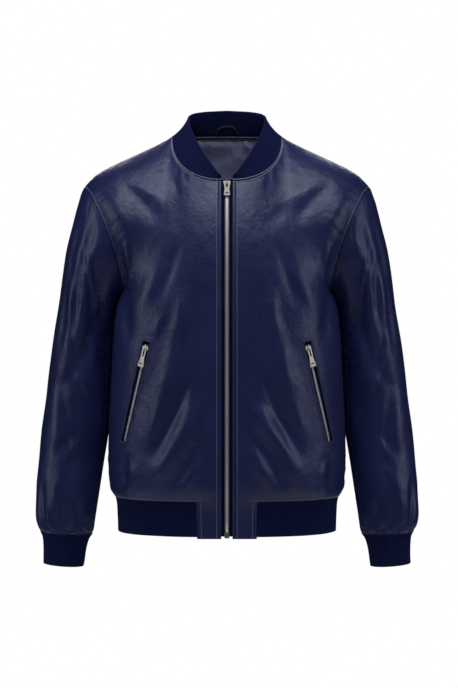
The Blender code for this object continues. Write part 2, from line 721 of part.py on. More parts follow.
def make_hem():
    """The rib band from one leather block round the back to the other, and the two blocks."""
    heights = (HEM_TOP, HEM_ROW, HEM_BOTTOM)
    half = BAND[0][1]
    block_u = (
        math.asin(((TAB_EDGE - ZIP_GAP) / (half - ZIP_GAP)) ** (BAND_SQUARE / 2)) * 2 / math.pi
    )
    front = band_grid(np.linspace(block_u, 1, 9), -1, heights)
    back = band_grid(np.linspace(0, 1, 13), 1, heights)
    # From the left block to the side, then across the back and round to the right block.
    left = np.concatenate([front, back[-2::-1]])
    whole = np.concatenate([left[:-1], mirrored(left[::-1])])
    out = level_at(normals(whole, whole * (1, 1, 0)), 0)
    knitted(
        "hem_band",
        whole,
        out,
        ribs=RIBS_PER_COLUMN["hem"],
        edges=("start", "end", "bottom"),
        plain_rows=(0,),
    )
    block = band_grid(np.linspace(0, block_u, 5), -1, (HEM_TOP, HEM_ROW, BLOCK_BOTTOM))
    block_out = level_at(normals(block, block * (1, 1, 0)), 0)
    for name, turn_over in HANDS:
        wall(
            "hem_block_" + name,
            turn_over(block),
            turn_over(block_out),
            LEATHER,
            NAVY,
            edges=("end", "bottom"),
        )
    return block, block_out


# ---------------------------------------------------------------- inside
def make_lining(jacket):
    """The back lining, which shows through the neck."""
    first = len(jacket.v[0]) - LINING_ROWS
    gap = LEATHER + 2 * SEAM
    out = jacket.back_out[:-1, first:-1]
    half = jacket.back[:-1, first:-1] - out * gap
    last = jacket.back[:-1, -1] - jacket.back_out[:-1, -1] * gap
    half[:, -1] += (last - half[:, -1]) * LINING_REACH
    wall("lining_back", both_sides(half), both_sides(out), LINING, LINING_NAVY, paired=True)


def make_loop():
    """The hanging loop, which stands on the collar's inner face."""
    collar_rise = COLLAR[-1][COLLAR_COLUMNS.index("z")] - NECK_RISE
    half_round = math.pi * NECK_SIDE  # about the collar's length from the front to the back
    rings = []
    for angle in np.linspace(0, math.pi, LOOP_STEPS):
        c, s = math.cos(angle), math.sin(angle)
        x, z = LOOP_SPAN * c, LOOP_FOOT + LOOP_RISE * s
        at = collar(np.array(1 - abs(x) / half_round), np.array(z / collar_rise))
        spine = np.array((x, at[1] - KNIT - LOOP_THICK - LOOP_CLEAR, at[2]))
        away = unit(np.array((LOOP_RISE * c, 0.0, LOOP_SPAN * s)))
        rings.append([spine + away * LOOP_WIDE * a + (0, LOOP_THICK * b, 0) for a, b in SQUARE])
    swept("hang_loop", np.array(rings), NAVY)


def swept(name, rings, colour, metallic=0.0, roughness=0.5):
    """A bar whose sections are the rings, closed at both ends."""
    count, sides = rings.shape[:2]
    faces = [
        [
            i * sides + k,
            i * sides + (k + 1) % sides,
            (i + 1) * sides + (k + 1) % sides,
            (i + 1) * sides + k,
        ]
        for i in range(count - 1)
        for k in range(sides)
    ]
    faces += [list(range(sides))[::-1], [(count - 1) * sides + k for k in range(sides)]]
    return make_object(name, rings.reshape(-1, 3), faces, colour, metallic, roughness)


# ---------------------------------------------------------------- zips
CHAIN_THICK = 0.0030
FRONT_CHAIN, POCKET_CHAIN = 0.0040, 0.0028  # half the width of the joined teeth
TAPE_TOP = LEATHER + 2 * SEAM  # from the leather's outer face to the tape's
TAPE_MIDDLE = TAPE_TOP + TAPE / 2

FRONT_TAPE_EDGE = ZIP_GAP + 0.007  # from the centre front to a tape's outer edge
FRONT_HINGE_Z = -0.0900  # height of the front slider
POCKET_HINGE_AT = 0.0185  # from the top end of a pocket's tape down to its slider
SLIDER_REACH = 0.0035, 0.0028  # the front and pocket chains start this far above their hinges
CHAIN_END = 0.0110, 0.0075  # and end this far above the tapes' feet
POCKET_CHAIN_SHARE = 0.75  # of the front chain's thickness
LEAN_REACH = 0.006  # a slider lies along this length of its zip

# Sliders, in millimetres: length, and half the widths of the shoulder, the waist and the bail.
FRONT_SLIDER = (14.0, 6.4, 4.7, 1.2)
POCKET_SLIDER = (12.0, 5.8, 4.2, 0.9)

# Pull tabs, in millimetres: length, half the widths at the top and the bottom, half the width and
# the foot of the eye that the bail passes through, and how far above the tab's foot its slot is.
FRONT_PULL = (22.5, 4.6, 5.3, 1.6, 6.2, 4.2)
POCKET_PULL = (28.0, 4.4, 6.2, 1.3, 10.5, 4.6)


def strip(name, centres, across, out, half, thick, colour, metallic=0.0):
    """A flat strip along centres."""
    rings = np.stack([centres + across * half * a + out * thick / 2 * b for a, b in SQUARE], 1)
    return swept(name, rings, colour, metallic, 0.4 if metallic else 0.8)


def shortened(centres, from_start, from_end):
    """A path with both ends drawn in, and the points that this would pass left out."""
    steps = np.linalg.norm(np.diff(centres, axis=0), axis=1)
    at = np.concatenate([[0], np.cumsum(steps)])
    low, high = from_start, at[-1] - from_end
    keep = [low, *(d for d in at if low + 0.002 < d < high - 0.002), high]
    return np.stack([np.interp(keep, at, centres[:, k]) for k in range(3)], -1)


def placed(local, across, out, up, origin):
    """Points given as (across, out, up), moved to their place."""
    return origin + local[:, :1] * across + local[:, 1:2] * out + local[:, 2:] * up


def plate(outline, back, front, holes=()):
    """A flat plate in the across-up plane, with holes cut through. Returns a bmesh."""
    made = extruded([(x, back, z) for x, z in outline], (0, front - back, 0))
    for hole in holes:
        cutter = extruded([(x, back - 2, z) for x, z in hole], (0, front - back + 4, 0))
        made = combined(made, cutter, "DIFFERENCE")
    return made


def extruded(outline, along):
    shape = bmesh.new()
    face = shape.faces.new([shape.verts.new(p) for p in outline])
    moved = bmesh.ops.extrude_face_region(shape, geom=[face])
    tips = [v for v in moved["geom"] if isinstance(v, bmesh.types.BMVert)]
    bmesh.ops.translate(shape, vec=along, verts=tips)
    bmesh.ops.recalc_face_normals(shape, faces=shape.faces)
    return shape


def helper(shape, name):
    mesh = bpy.data.meshes.new(name)
    shape.to_mesh(mesh)
    shape.free()
    made = bpy.data.objects.new(name, mesh)
    bpy.context.scene.collection.objects.link(made)
    return made


def combined(first, second, operation):
    """One bmesh from two, by a Boolean."""
    a, b = helper(first, "boolean_a"), helper(second, "boolean_b")
    cut = a.modifiers.new("cut", "BOOLEAN")
    cut.operation, cut.object, cut.solver = operation, b, "EXACT"
    bpy.context.view_layer.update()
    graph = bpy.context.evaluated_depsgraph_get()
    result = bmesh.new()
    result.from_mesh(a.evaluated_get(graph).to_mesh())
    for used in (a, b):
        bpy.data.objects.remove(used)
    return result


def hardware(name, shape, across, out, up, origin):
    """Places a bmesh that was modelled in millimetres as (across, out, up)."""
    bmesh.ops.triangulate(shape, faces=shape.faces)
    shape.verts.index_update()
    local = np.array([v.co[:] for v in shape.verts]) * 0.001
    faces = [[v.index for v in f.verts] for f in shape.faces]
    shape.free()
    where = placed(local, across, out, up, origin)
    return make_object(name, where, faces, NICKEL, metallic=1.0, roughness=0.28)


def slider_shape(half_thick, length, shoulder, waist, bail):
    """A slider: two plates joined by a post at the top, and the bail that carries the pull.

    Its origin is level with the pull's hinge and in the middle of the chain's thickness.
    """
    channel = half_thick + 0.35
    face = channel + 1.1
    low, high = -0.45 * length, 0.55 * length
    outline = [
        (-waist, low),
        (waist, low),
        (shoulder, high - 2.4),
        (shoulder, high - 0.9),
        (shoulder - 0.9, high),
        (0.9 - shoulder, high),
        (-shoulder, high - 0.9),
        (-shoulder, high - 2.4),
    ]
    post = [(-1.3, high - 3.0), (1.3, high - 3.0), (1.3, high - 0.6), (-1.3, high - 0.6)]
    arch = (
        (-0.6, 3.8),
        (1.7, 3.6),
        (3.2, 2.7),
        (3.6, 1.2),
        (3.6, -1.2),
        (3.2, -2.7),
        (1.7, -3.6),
        (-0.6, -3.8),
        (-0.6, -2.7),
        (1.4, -2.7),
        (2.5, -1.8),
        (2.5, 1.8),
        (1.4, 2.7),
        (-0.6, 2.7),
    )
    shape = plate(outline, channel, face)
    parts = (
        plate(post, -channel - 0.5, channel + 0.5),
        plate(outline, -face, -channel),
        extruded([(-bail, face + y, z) for y, z in arch], (2 * bail, 0, 0)),
    )
    for part in parts:
        shape = combined(shape, part, "UNION")
    return shape, face + 1.3


def pull_shape(length, top, bottom, eye_half, eye_foot, grip):
    """A pull tab about its hinge line: a plate with an eye for the bail and a curved slot."""
    eye = [(-eye_half, -0.8), (-eye_half, -eye_foot), (eye_half, -eye_foot), (eye_half, -0.8)]
    turns = [math.radians(a) for a in (20, 55, 90, 125, 160)]
    wide = 0.6 * bottom
    upper = [(wide * math.cos(a), grip - length + 0.5 + 0.9 * math.sin(a)) for a in turns]
    lower = [(0.9 * x, z - 1.3) for x, z in reversed(upper)]
    waist = -0.38 * length
    outline = [
        (-top, 0.0),
        (0.8 - top, 0.8),
        (top - 0.8, 0.8),
        (top, 0.0),
        (top * 0.86, waist),
        (bottom, 1.2 - length),
        (bottom - 0.9, -length),
        (0.9 - bottom, -length),
        (-bottom, 1.2 - length),
        (-top * 0.86, waist),
    ]
    return plate(outline, -0.65, 0.65, (eye, upper + lower))


def make_slider_and_pull(suffix, centres, out, distance, half_thick, slider, pull):
    """Puts them on a zip, at a distance down from its top."""
    steps = np.linalg.norm(np.diff(centres, axis=0), axis=1)
    along = np.concatenate([[0], np.cumsum(steps)])
    at = np.array([np.interp(distance, along, centres[:, k]) for k in range(3)])
    low = np.array([np.interp(distance + LEAN_REACH, along, centres[:, k]) for k in range(3)])
    lean = np.array([np.interp(distance, along, out[:, k]) for k in range(3)])
    up = unit(at - low)
    across = unit(np.cross(lean, up))
    face = np.cross(up, across)
    shape, hinge_out = slider_shape(half_thick * 1000, *slider)
    hardware("zip_slider_" + suffix, shape, across, face, up, at)
    tab = hardware("zip_pull_" + suffix, pull_shape(*pull), across, face, up, np.zeros(3))
    tab.location = at + face * hinge_out * 0.001




def make_front_zip(jacket, block, block_out):
    line = np.concatenate([block[0, ::-1][:-1], jacket.front[0]])[::-1] * (0, 1, 1)
    out = np.concatenate([block_out[0, ::-1][:-1], jacket.front_out[0]])[::-1] * (0, 1, 1)
    out[0] = out[1]
    out = unit(out)
    centres = shortened(line - out * TAPE_MIDDLE, 0.001, 0.001)
    across = np.array((1.0, 0.0, 0.0))
    inner, outer = FRONT_CHAIN + SEAM, FRONT_TAPE_EDGE
    facing = unit(np.cross(np.gradient(centres, axis=0), across))
    for name, side in (("left", 1), ("right", -1)):
        middle = centres + across * side * (inner + outer) / 2
        half = (outer - inner) / 2
        strip("zip_front_tape_" + name, middle, across, facing, half, TAPE, TAPE_NAVY)

    down = np.linalg.norm(centres[0] - centres, axis=1)
    distance = np.interp(-FRONT_HINGE_Z, -centres[:, 2], down)
    chain = shortened(centres, distance - SLIDER_REACH[0], CHAIN_END[0])
    chain_out = unit(np.cross(np.gradient(chain, axis=0), across))
    strip("zip_front_chain", chain, across, chain_out, FRONT_CHAIN, CHAIN_THICK, NICKEL, 1.0)
    make_slider_and_pull(
        "front", centres, facing, distance, CHAIN_THICK / 2, FRONT_SLIDER, FRONT_PULL
    )

    up = unit(centres[-2] - centres[-1])
    box = [(-4.2, 0.2), (-4.2, 9.7), (-3.4, 10.5), (3.4, 10.5), (4.2, 9.7), (4.2, 0.2)]
    shape = plate(box, -2.0, 2.0)
    hardware("zip_bottom_box", shape, across, np.cross(across, up), up, centres[-1])


def pocket_grid(jacket, offsets, overrun, count=9):
    """Points of the leather's outer face beside the pocket zip, run on past both its ends."""
    top, foot = np.array(POCKET_TOP), np.array(POCKET_BOTTOM)
    length = np.linalg.norm(foot - top)
    shares = np.linspace(-overrun / length, 1 + overrun / length, count)
    found = [jacket.on_front(*(top + (foot - top) * share)) for share in shares]
    middle, out = (np.array([row[k] for row in found]) for k in (0, 1))
    across = unit(np.cross(np.gradient(middle, axis=0), out))
    grid = [
        [jacket.on_front(*(p + a * offset)[[0, 2]]) for p, a in zip(middle, across)]
        for offset in offsets
    ]
    points, outs = (np.array([[cell[k] for cell in row] for row in grid]) for k in (0, 1))
    return points, outs, across


def make_pocket(jacket, panel, name, turn_over):
    """Cuts the mouth in the panel, and puts the zip behind it."""
    points, out, _ = (
        turn_over(p) for p in pocket_grid(jacket, (-POCKET_GAP, 0, POCKET_GAP), POCKET_OVERRUN)
    )
    over, under = POCKET_CUT
    edges = ((0, over), (2, over), (2, under), (0, under))
    rings = np.stack([points[k] + out[1] * d for k, d in edges], 1)
    cutter = swept("cutter_" + name, rings, NAVY)
    cut = panel.modifiers.new("pocket_mouth", "BOOLEAN")
    cut.operation, cut.object, cut.solver = "DIFFERENCE", cutter, "EXACT"
    cutter.hide_render = True

    prefix = "zip_pocket_" + name
    inner, outer = POCKET_CHAIN + 2 * SEAM, POCKET_TAPE_EDGE
    for piece, side in (("_tape_front", -1), ("_tape_side", 1)):
        offsets = [side * x for x in (inner, (inner + outer) / 2, outer)]
        points, out, _ = (turn_over(p) for p in pocket_grid(jacket, offsets, TAPE_OVERRUN))
        wall(prefix + piece, points - out * TAPE_TOP, out, TAPE, TAPE_NAVY)

    points, out, across = (turn_over(p) for p in pocket_grid(jacket, (0,), TAPE_OVERRUN))
    points, out = points[0], unit(np.cross(across, np.gradient(points[0], axis=0)))
    out = out * np.where(np.sum(out * (0, -1, 0), -1) < 0, -1, 1)[:, None]
    centres = points - out * TAPE_MIDDLE
    half_thick = CHAIN_THICK * POCKET_CHAIN_SHARE / 2
    chain = shortened(centres, POCKET_HINGE_AT - SLIDER_REACH[1], CHAIN_END[1])
    chain_across = unit(np.cross(np.gradient(chain, axis=0), out[len(out) // 2]))
    chain_out = unit(np.cross(chain_across, np.gradient(chain, axis=0)))
    strip(
        prefix + "_chain", chain, chain_across, chain_out, POCKET_CHAIN, 2 * half_thick, NICKEL, 1.0
    )
    make_slider_and_pull(
        "pocket_" + name, centres, out, POCKET_HINGE_AT, half_thick, POCKET_SLIDER, POCKET_PULL
    )


def main():
    for old in list(bpy.data.objects):
        bpy.data.objects.remove(old)
    jacket = Jacket()
    panels = make_panels(jacket)
    make_collar(jacket)
    make_cuffs()
    block, block_out = make_hem()
    make_lining(jacket)
    make_loop()
    make_front_zip(jacket, block, block_out)
    for name, turn_over in HANDS:
        make_pocket(jacket, panels[name], name, turn_over)


main()
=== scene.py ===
"""The looks of a zip-front bomber jacket: leather shells, rib knit, lining, zips and sewing.

Metres, +Z up, -Y the front of the wearer, +X the wearer's left, as in the frame of solids.
"""

import math

import bmesh
import bpy
import numpy as np
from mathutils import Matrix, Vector
from mathutils.bvhtree import BVHTree


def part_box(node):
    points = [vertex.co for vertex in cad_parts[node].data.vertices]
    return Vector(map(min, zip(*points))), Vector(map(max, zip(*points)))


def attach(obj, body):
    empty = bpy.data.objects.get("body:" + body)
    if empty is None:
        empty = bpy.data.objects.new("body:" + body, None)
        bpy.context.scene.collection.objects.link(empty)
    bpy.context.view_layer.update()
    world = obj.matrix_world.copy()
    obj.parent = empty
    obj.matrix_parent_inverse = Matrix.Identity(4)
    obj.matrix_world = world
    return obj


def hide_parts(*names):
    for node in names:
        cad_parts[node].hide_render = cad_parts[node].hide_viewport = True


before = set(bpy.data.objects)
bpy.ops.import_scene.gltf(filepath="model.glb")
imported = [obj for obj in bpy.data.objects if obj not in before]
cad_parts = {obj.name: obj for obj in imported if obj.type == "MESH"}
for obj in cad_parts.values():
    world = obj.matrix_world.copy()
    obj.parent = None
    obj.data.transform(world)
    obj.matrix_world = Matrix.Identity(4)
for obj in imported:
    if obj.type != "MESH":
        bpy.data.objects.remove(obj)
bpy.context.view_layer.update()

# ---------------------------------------------------------------- the garment's sizes
SEAM = 0.0003
LEATHER = 0.0016
KNIT = 0.0024
LINING = 0.0008
TAPE = 0.0008
ZIP_GAP = 0.009
HEM_TOP, HEM_BOTTOM, BLOCK_BOTTOM = -0.610, -0.6675, -0.6705
TAB_EDGE = 0.049
ARMPIT = -0.262
NECK_SIDE = 0.0935
NECK_FRONT, NECK_DROP = 0.088, 0.0795
NECK_BACK, NECK_RISE = 0.074, 0.0115
NECK_SHARE = 0.34

# The shoulder seam: share of its length, height.
SHOULDER = (
    (0.00, 0.0000),
    (0.14, -0.0115),
    (0.35, -0.0265),
    (0.55, -0.0405),
    (0.75, -0.0555),
    (0.88, -0.0690),
    (1.00, -0.0890),
)
# Directions in which a panel reaches the neckline and shoulder: width share, across, over, up.
FRONT_ARRIVE = (
    (0.00, 0.00, 0.50, 0.87),
    (0.20, -0.12, 0.56, 0.82),
    (0.34, -0.22, 0.72, 0.66),
    (0.60, 0.00, 0.90, 0.43),
    (1.00, 0.00, 0.93, 0.37),
)
BACK_ARRIVE = (
    (0.00, 0.00, 0.62, 0.78),
    (0.20, -0.08, 0.66, 0.74),
    (0.34, -0.16, 0.82, 0.54),
    (0.60, 0.00, 0.93, 0.37),
    (1.00, 0.00, 0.95, 0.30),
)
# Rings of the torso: height, half width, front, centre front, back, squareness.
BODY = (
    (HEM_TOP, 0.1885, 0.137, 0.1370, 0.113, 2.35),
    (-0.5960, 0.1960, 0.147, 0.1395, 0.125, 2.35),
    (-0.5700, 0.2000, 0.152, 0.1430, 0.131, 2.35),
    (-0.5150, 0.2005, 0.151, 0.1465, 0.130, 2.35),
    (-0.4400, 0.1978, 0.149, 0.1470, 0.126, 2.38),
    (-0.3800, 0.1945, 0.148, 0.1465, 0.127, 2.40),
    (-0.3200, 0.1908, 0.146, 0.1455, 0.130, 2.40),
    (-0.2850, 0.1866, 0.144, 0.1440, 0.132, 2.40),
    (ARMPIT, 0.1800, 0.142, 0.1420, 0.132, 2.40),
)
# Rings of the hem band: height, half width, front, back.
BAND = (
    (BLOCK_BOTTOM, 0.1840, 0.1300, 0.106),
    (-0.6400, 0.1850, 0.1315, 0.107),
    (-0.6190, 0.1865, 0.1345, 0.110),
    (HEM_TOP, 0.1885, 0.1370, 0.113),
)
BAND_SQUARE = 2.35
# Rings of a sleeve: outer x and z, inner x and z, half depths, how far its faces draw in, forward.
SLEEVE = (
    (0.2445, -0.0890, 0.1800, -0.2620, 0.0640, 0.0680, 0.0170, 0.0000),
    (0.2535, -0.1150, 0.1833, -0.2665, 0.0655, 0.0690, 0.0130, -0.0030),
    (0.2632, -0.1500, 0.1860, -0.2740, 0.0665, 0.0695, 0.0085, -0.0065),
    (0.2735, -0.1900, 0.1893, -0.2860, 0.0665, 0.0690, 0.0050, -0.0105),
    (0.2805, -0.2350, 0.1912, -0.3040, 0.0655, 0.0680, 0.0020, -0.0145),
    (0.2877, -0.2850, 0.1930, -0.3300, 0.0640, 0.0665, 0.0005, -0.0185),
    (0.2965, -0.3380, 0.1948, -0.3660, 0.0620, 0.0640, 0.0000, -0.0215),
    (0.3032, -0.3900, 0.1970, -0.4070, 0.0600, 0.0615, 0.0000, -0.0235),
    (0.3093, -0.4400, 0.1993, -0.4500, 0.0580, 0.0590, 0.0000, -0.0230),
    (0.3161, -0.4920, 0.2018, -0.4980, 0.0560, 0.0565, 0.0000, -0.0200),
    (0.3212, -0.5500, 0.2100, -0.5530, 0.0535, 0.0540, 0.0000, -0.0130),
    (0.3258, -0.6080, 0.2182, -0.6095, 0.0505, 0.0505, 0.0000, -0.0050),
    (0.3262, -0.6480, 0.2243, -0.6495, 0.0475, 0.0475, 0.0000, 0.0000),
    (0.3165, -0.6705, 0.2290, -0.6735, 0.0425, 0.0425, 0.0000, 0.0015),
)
CUFF = (
    SLEEVE[-1],
    (0.3127, -0.6790, 0.2352, -0.6825, 0.0385, 0.0385, 0.0000, 0.0030),
    (0.3112, -0.6960, 0.2400, -0.7000, 0.0360, 0.0360, 0.0000, 0.0045),
    (0.3110, -0.7232, 0.2437, -0.7285, 0.0345, 0.0345, 0.0000, 0.0065),
)
# Upper edge of the collar: share of the way round from the centre front, x, y, z.
COLLAR = (
    (0.00, 0.0120, -0.0915, -0.0735),
    (0.07, 0.0245, -0.0835, -0.0565),
    (0.15, 0.0385, -0.0690, -0.0350),
    (0.27, 0.0525, -0.0440, -0.0085),
    (0.40, 0.0625, -0.0180, 0.0150),
    (0.50, 0.0660, 0.0000, 0.0300),
    (0.65, 0.0620, 0.0270, 0.0415),
    (0.82, 0.0420, 0.0530, 0.0490),
    (1.00, 0.0000, 0.0660, 0.0530),
)
COLLAR_HOLLOW = 0.004

# The folds that the solids have too: from x, z to x, z in the front or back view, width, depth.
FRONT_FOLDS = (
    (0.176, -0.215, 0.166, -0.345, 0.012, 0.0050),
    (0.174, -0.088, 0.108, -0.152, 0.016, 0.0035),
    (0.080, -0.182, 0.116, -0.290, 0.013, 0.0020),
    (0.070, -0.290, 0.128, -0.520, 0.014, -0.0040),
    (0.056, -0.390, 0.120, -0.540, 0.014, 0.0035),
    (0.030, -0.430, 0.120, -0.577, 0.015, -0.0045),
    (0.022, -0.480, 0.095, -0.592, 0.011, 0.0030),
    (0.165, -0.535, 0.178, -0.600, 0.010, 0.0030),
)
BACK_FOLDS = (
    (0.172, -0.200, 0.150, -0.340, 0.014, 0.0050),
    (0.135, -0.110, 0.055, -0.170, 0.020, 0.0030),
    (0.120, -0.330, 0.060, -0.410, 0.022, 0.0035),
    (0.150, -0.430, 0.105, -0.585, 0.017, 0.0045),
    (0.085, -0.480, 0.050, -0.600, 0.014, 0.0035),
    (0.020, -0.520, 0.012, -0.600, 0.012, 0.0025),
)
# On a sleeve: from a turn in degrees and a row to another, width, depth.
SLEEVE_FOLDS = (
    (62, 0.6, 72, 5.6, 0.010, 0.0045),
    (36, 1.2, 47, 6.4, 0.010, 0.0040),
    (98, 1.6, 104, 7.0, 0.013, 0.0060),
    (130, 4.2, 70, 7.6, 0.012, 0.0040),
    (58, 7.4, 96, 10.4, 0.012, 0.0035),
    (40, 10.6, 52, 13.0, 0.008, 0.0045),
    (82, 11.0, 78, 13.0, 0.008, 0.0035),
    (118, 11.2, 108, 13.0, 0.008, 0.0035),
    (-60, 0.8, -72, 5.8, 0.011, 0.0045),
    (-100, 1.8, -108, 7.0, 0.013, 0.0055),
    (-128, 5.6, -64, 8.2, 0.012, 0.0050),
    (-120, 7.4, -60, 9.2, 0.011, 0.0045),
    (-50, 10.8, -58, 13.0, 0.008, 0.0040),
    (-96, 11.0, -92, 13.0, 0.008, 0.0040),
    (-136, 11.2, -126, 13.0, 0.008, 0.0035),
    (4, 10.8, 8, 13.0, 0.008, 0.0035),
)

# Creases, as they lie in the front view (the back's in the back view). Hand is 1 on the wearer's
# left, -1 on the right and 0 on both. Then three points of a curve as x and z, the half width and
# the depth, in millimetres. A ridge has a minus sign.
FRONT_CREASES = (
    (0, 200, -92, 182, -134, 150, -172, 14, -3.0),
    (0, 178, -86, 145, -112, 109, -143, 11, 1.6),
    (0, 168, -76, 132, -96, 93, -120, 9, -2.2),
    (1, 125, -111, 90, -133, 50, -169, 12, 1.6),
    (0, 125, -65, 103, -67, 83, -63, 5, -0.9),
    (-1, 83, -65, 75, -81, 68, -98, 6, -1.8),
    (-1, 93, -71, 86, -91, 80, -111, 6, 1.2),
    (1, 60, -62, 67, -85, 60, -104, 6, 1.3),
    (0, 187, -163, 173, -218, 171, -280, 7, 2.2),
    (0, 165, -169, 160, -223, 163, -280, 6, -2.6),
    (0, 96, -212, 127, -261, 148, -303, 14, -3.4),
    (0, 80, -182, 96, -241, 116, -280, 10, 1.8),
    (0, 72, -241, 67, -290, 77, -359, 9, -3.6),
    (0, 57, -231, 50, -313, 67, -394, 12, 2.4),
    (0, 75, -332, 83, -404, 99, -440, 10, -3.4),
    (0, 83, -407, 99, -460, 129, -525, 11, -2.6),
    (0, 63, -398, 77, -463, 109, -518, 11, 2.0),
    (-1, 96, -290, 114, -326, 125, -355, 7, -1.8),
    (0, 109, -391, 116, -430, 129, -476, 9, -1.4),
    (-1, 26, -436, 50, -505, 124, -580, 19, -4.2),
    (-1, 50, -415, 80, -470, 146, -535, 12, 0.8),
    (-1, 13, -480, 42, -552, 96, -603, 9, 3.0),
    (-1, 17, -500, 40, -556, 88, -603, 9, -4.2),
    (-1, 39, -580, 32, -593, 29, -605, 5, -1.8),
    (1, 8, -417, 50, -479, 129, -558, 12, -3.8),
    (1, 5, -443, 34, -509, 112, -580, 10, 2.6),
    (1, 15, -482, 37, -544, 93, -603, 12, -5.0),
    (1, 34, -417, 67, -463, 142, -528, 12, 1.8),
    (1, 32, -580, 34, -606, 19, -619, 4, -2.0),
    (0, 166, -535, 156, -561, 152, -584, 6, -1.8),
    (0, 176, -544, 169, -571, 165, -590, 5, 1.6),
    (0, 142, -580, 138, -592, 137, -602, 5, -1.0),
    (0, 112, -584, 109, -595, 109, -605, 5, 1.0),
)
BACK_CREASES = (
    (0, 206, -100, 184, -126, 150, -150, 9, -2.6),
    (0, 190, -92, 160, -116, 118, -134, 9, 2.4),
    (0, 70, -60, 40, -72, 6, -74, 8, -1.2),
    (0, 172, -190, 168, -225, 174, -280, 6, -2.4),
    (0, 60, -170, 64, -250, 50, -330, 18, -1.8),
    (0, 24, -300, 60, -345, 128, -372, 12, -2.6),
    (0, 40, -330, 76, -378, 140, -400, 11, 2.6),
    (0, 12, -390, 50, -436, 120, -470, 12, -2.6),
    (0, 150, -440, 120, -500, 92, -570, 11, -2.8),
    (0, 60, -450, 44, -510, 30, -580, 12, -2.4),
    (0, 110, -540, 106, -570, 104, -598, 6, 1.8),
    (0, 66, -556, 62, -580, 62, -600, 5, -1.6),
    (0, 24, -570, 24, -585, 26, -602, 5, 1.4),
    (0, 165, -548, 160, -572, 158, -596, 6, -2.0),
)
SLEEVE_FRONT_CREASES = (
    (0, 243, -158, 224, -242, 211, -308, 5, -2.2),
    (0, 253, -171, 238, -231, 233, -298, 5, -2.0),
    (0, 248, -168, 231, -238, 221, -305, 5, 1.4),
    (0, 268, -195, 266, -265, 264, -339, 6, -2.0),
    (0, 259, -188, 253, -262, 251, -339, 5, 1.6),
    (0, 222, -205, 208, -290, 204, -480, 14, 6.0),
    (0, 239, -288, 233, -345, 221, -409, 12, -3.6),
    (0, 263, -298, 259, -362, 246, -426, 8, 2.6),
    (0, 276, -329, 256, -406, 213, -479, 7, -2.8),
    (0, 253, -409, 229, -452, 199, -479, 10, 2.6),
    (0, 286, -419, 280, -479, 286, -550, 14, -2.2),
    (0, 239, -503, 266, -533, 286, -570, 6, -2.8),
    (0, 253, -496, 276, -523, 293, -550, 8, 1.8),
    (0, 263, -550, 283, -576, 293, -606, 9, -1.8),
    (0, 301, -623, 296, -647, 293, -663, 4, 3.2),
    (0, 290, -586, 285, -613, 283, -657, 6, -2.0),
    (0, 276, -623, 274, -647, 276, -665, 5, 1.8),
    (0, 259, -616, 258, -643, 258, -665, 5, -1.6),
    (0, 243, -627, 246, -647, 246, -665, 5, 1.6),
    (0, 223, -556, 226, -596, 229, -647, 8, 1.6),
)
SLEEVE_BACK_CREASES = (
    (0, 240, -150, 230, -200, 218, -290, 7, -3.6),
    (0, 256, -166, 250, -220, 246, -310, 7, -3.4),
    (0, 248, -170, 240, -225, 232, -300, 7, 2.6),
    (0, 212, -230, 206, -270, 206, -330, 8, 3.4),
    (0, 290, -330, 262, -352, 214, -344, 8, -3.6),
    (0, 292, -352, 262, -378, 212, -374, 8, 3.4),
    (0, 296, -380, 264, -402, 212, -404, 8, -3.4),
    (0, 296, -412, 262, -428, 214, -438, 8, 2.8),
    (0, 300, -440, 268, -470, 226, -500, 9, -2.8),
    (0, 296, -540, 284, -580, 286, -630, 8, -2.6),
    (0, 262, -560, 262, -600, 266, -640, 8, 2.0),
    (0, 300, -636, 297, -650, 296, -664, 4, 2.6),
    (0, 276, -632, 275, -648, 276, -665, 5, -2.2),
    (0, 250, -628, 250, -646, 252, -666, 5, 2.2),
    (0, 234, -632, 236, -650, 238, -666, 5, -1.8),
)
POCKET_TOP = (0.1320, -0.3520)
POCKET_BOTTOM = (0.1700, -0.5110)
POCKET_GAP = 0.0065
POCKET_CALM = 0.016  # fine creases fade out this near to a pocket zip

# Sewing, in metres.
STITCH, STITCH_GAP, THREAD = 0.0030, 0.0010, 0.00038
HEM_STITCH = 0.0035
TOPSTITCH = 0.0058
ZIP_DITCH, ZIP_STITCH = 0.0046, 0.0076
ARMHOLE_STITCH = 0.0045
BLOCK_STITCH = 0.0072
NECK_LINES, NECK_CORD = (0.0010, TOPSTITCH), 0.00075
POCKET_STITCH = 0.0032

# Zip chain.
TOOTH_PITCH = 0.0035
CHAIN_THICK = 0.0030
TAPE_TOP = LEATHER + 2 * SEAM
TAPE_MIDDLE = TAPE_TOP + TAPE / 2

# How a surface is drawn: pulls at both ends of the upper torso, and what rounds the neckline.
LEAVE_PULL, ARRIVE_PULL = 0.95, 1.10
BELOW_ARMPIT = 0.03
CENTRE_FLAT = 0.035
NECK_ROUND, NECK_FALL = 0.93, 0.90
SAMPLES = 6001  # points on a line that is measured before it is divided


# ---------------------------------------------------------------- curves and surfaces
def curve(xs, ys, x):
    """A smooth curve through the points (xs, ys), read at x. xs rises."""
    xs, ys, x = np.asarray(xs, float), np.asarray(ys, float), np.asarray(x, float)
    slope = np.gradient(ys, xs)
    i = np.clip(np.searchsorted(xs, x, side="right") - 1, 0, len(xs) - 2)
    span = xs[i + 1] - xs[i]
    t = (x - xs[i]) / span
    return (
        (1 + 2 * t) * (1 - t) ** 2 * ys[i]
        + t * (1 - t) ** 2 * span * slope[i]
        + t * t * (3 - 2 * t) * ys[i + 1]
        + t * t * (t - 1) * span * slope[i + 1]
    )


def read(table, x):
    """Every other column of a table, read along its first."""
    columns = np.array(table, float).T
    return [curve(columns[0], column, x) for column in columns[1:]]


def grid(first, second):
    return np.meshgrid(first, second, indexing="ij")


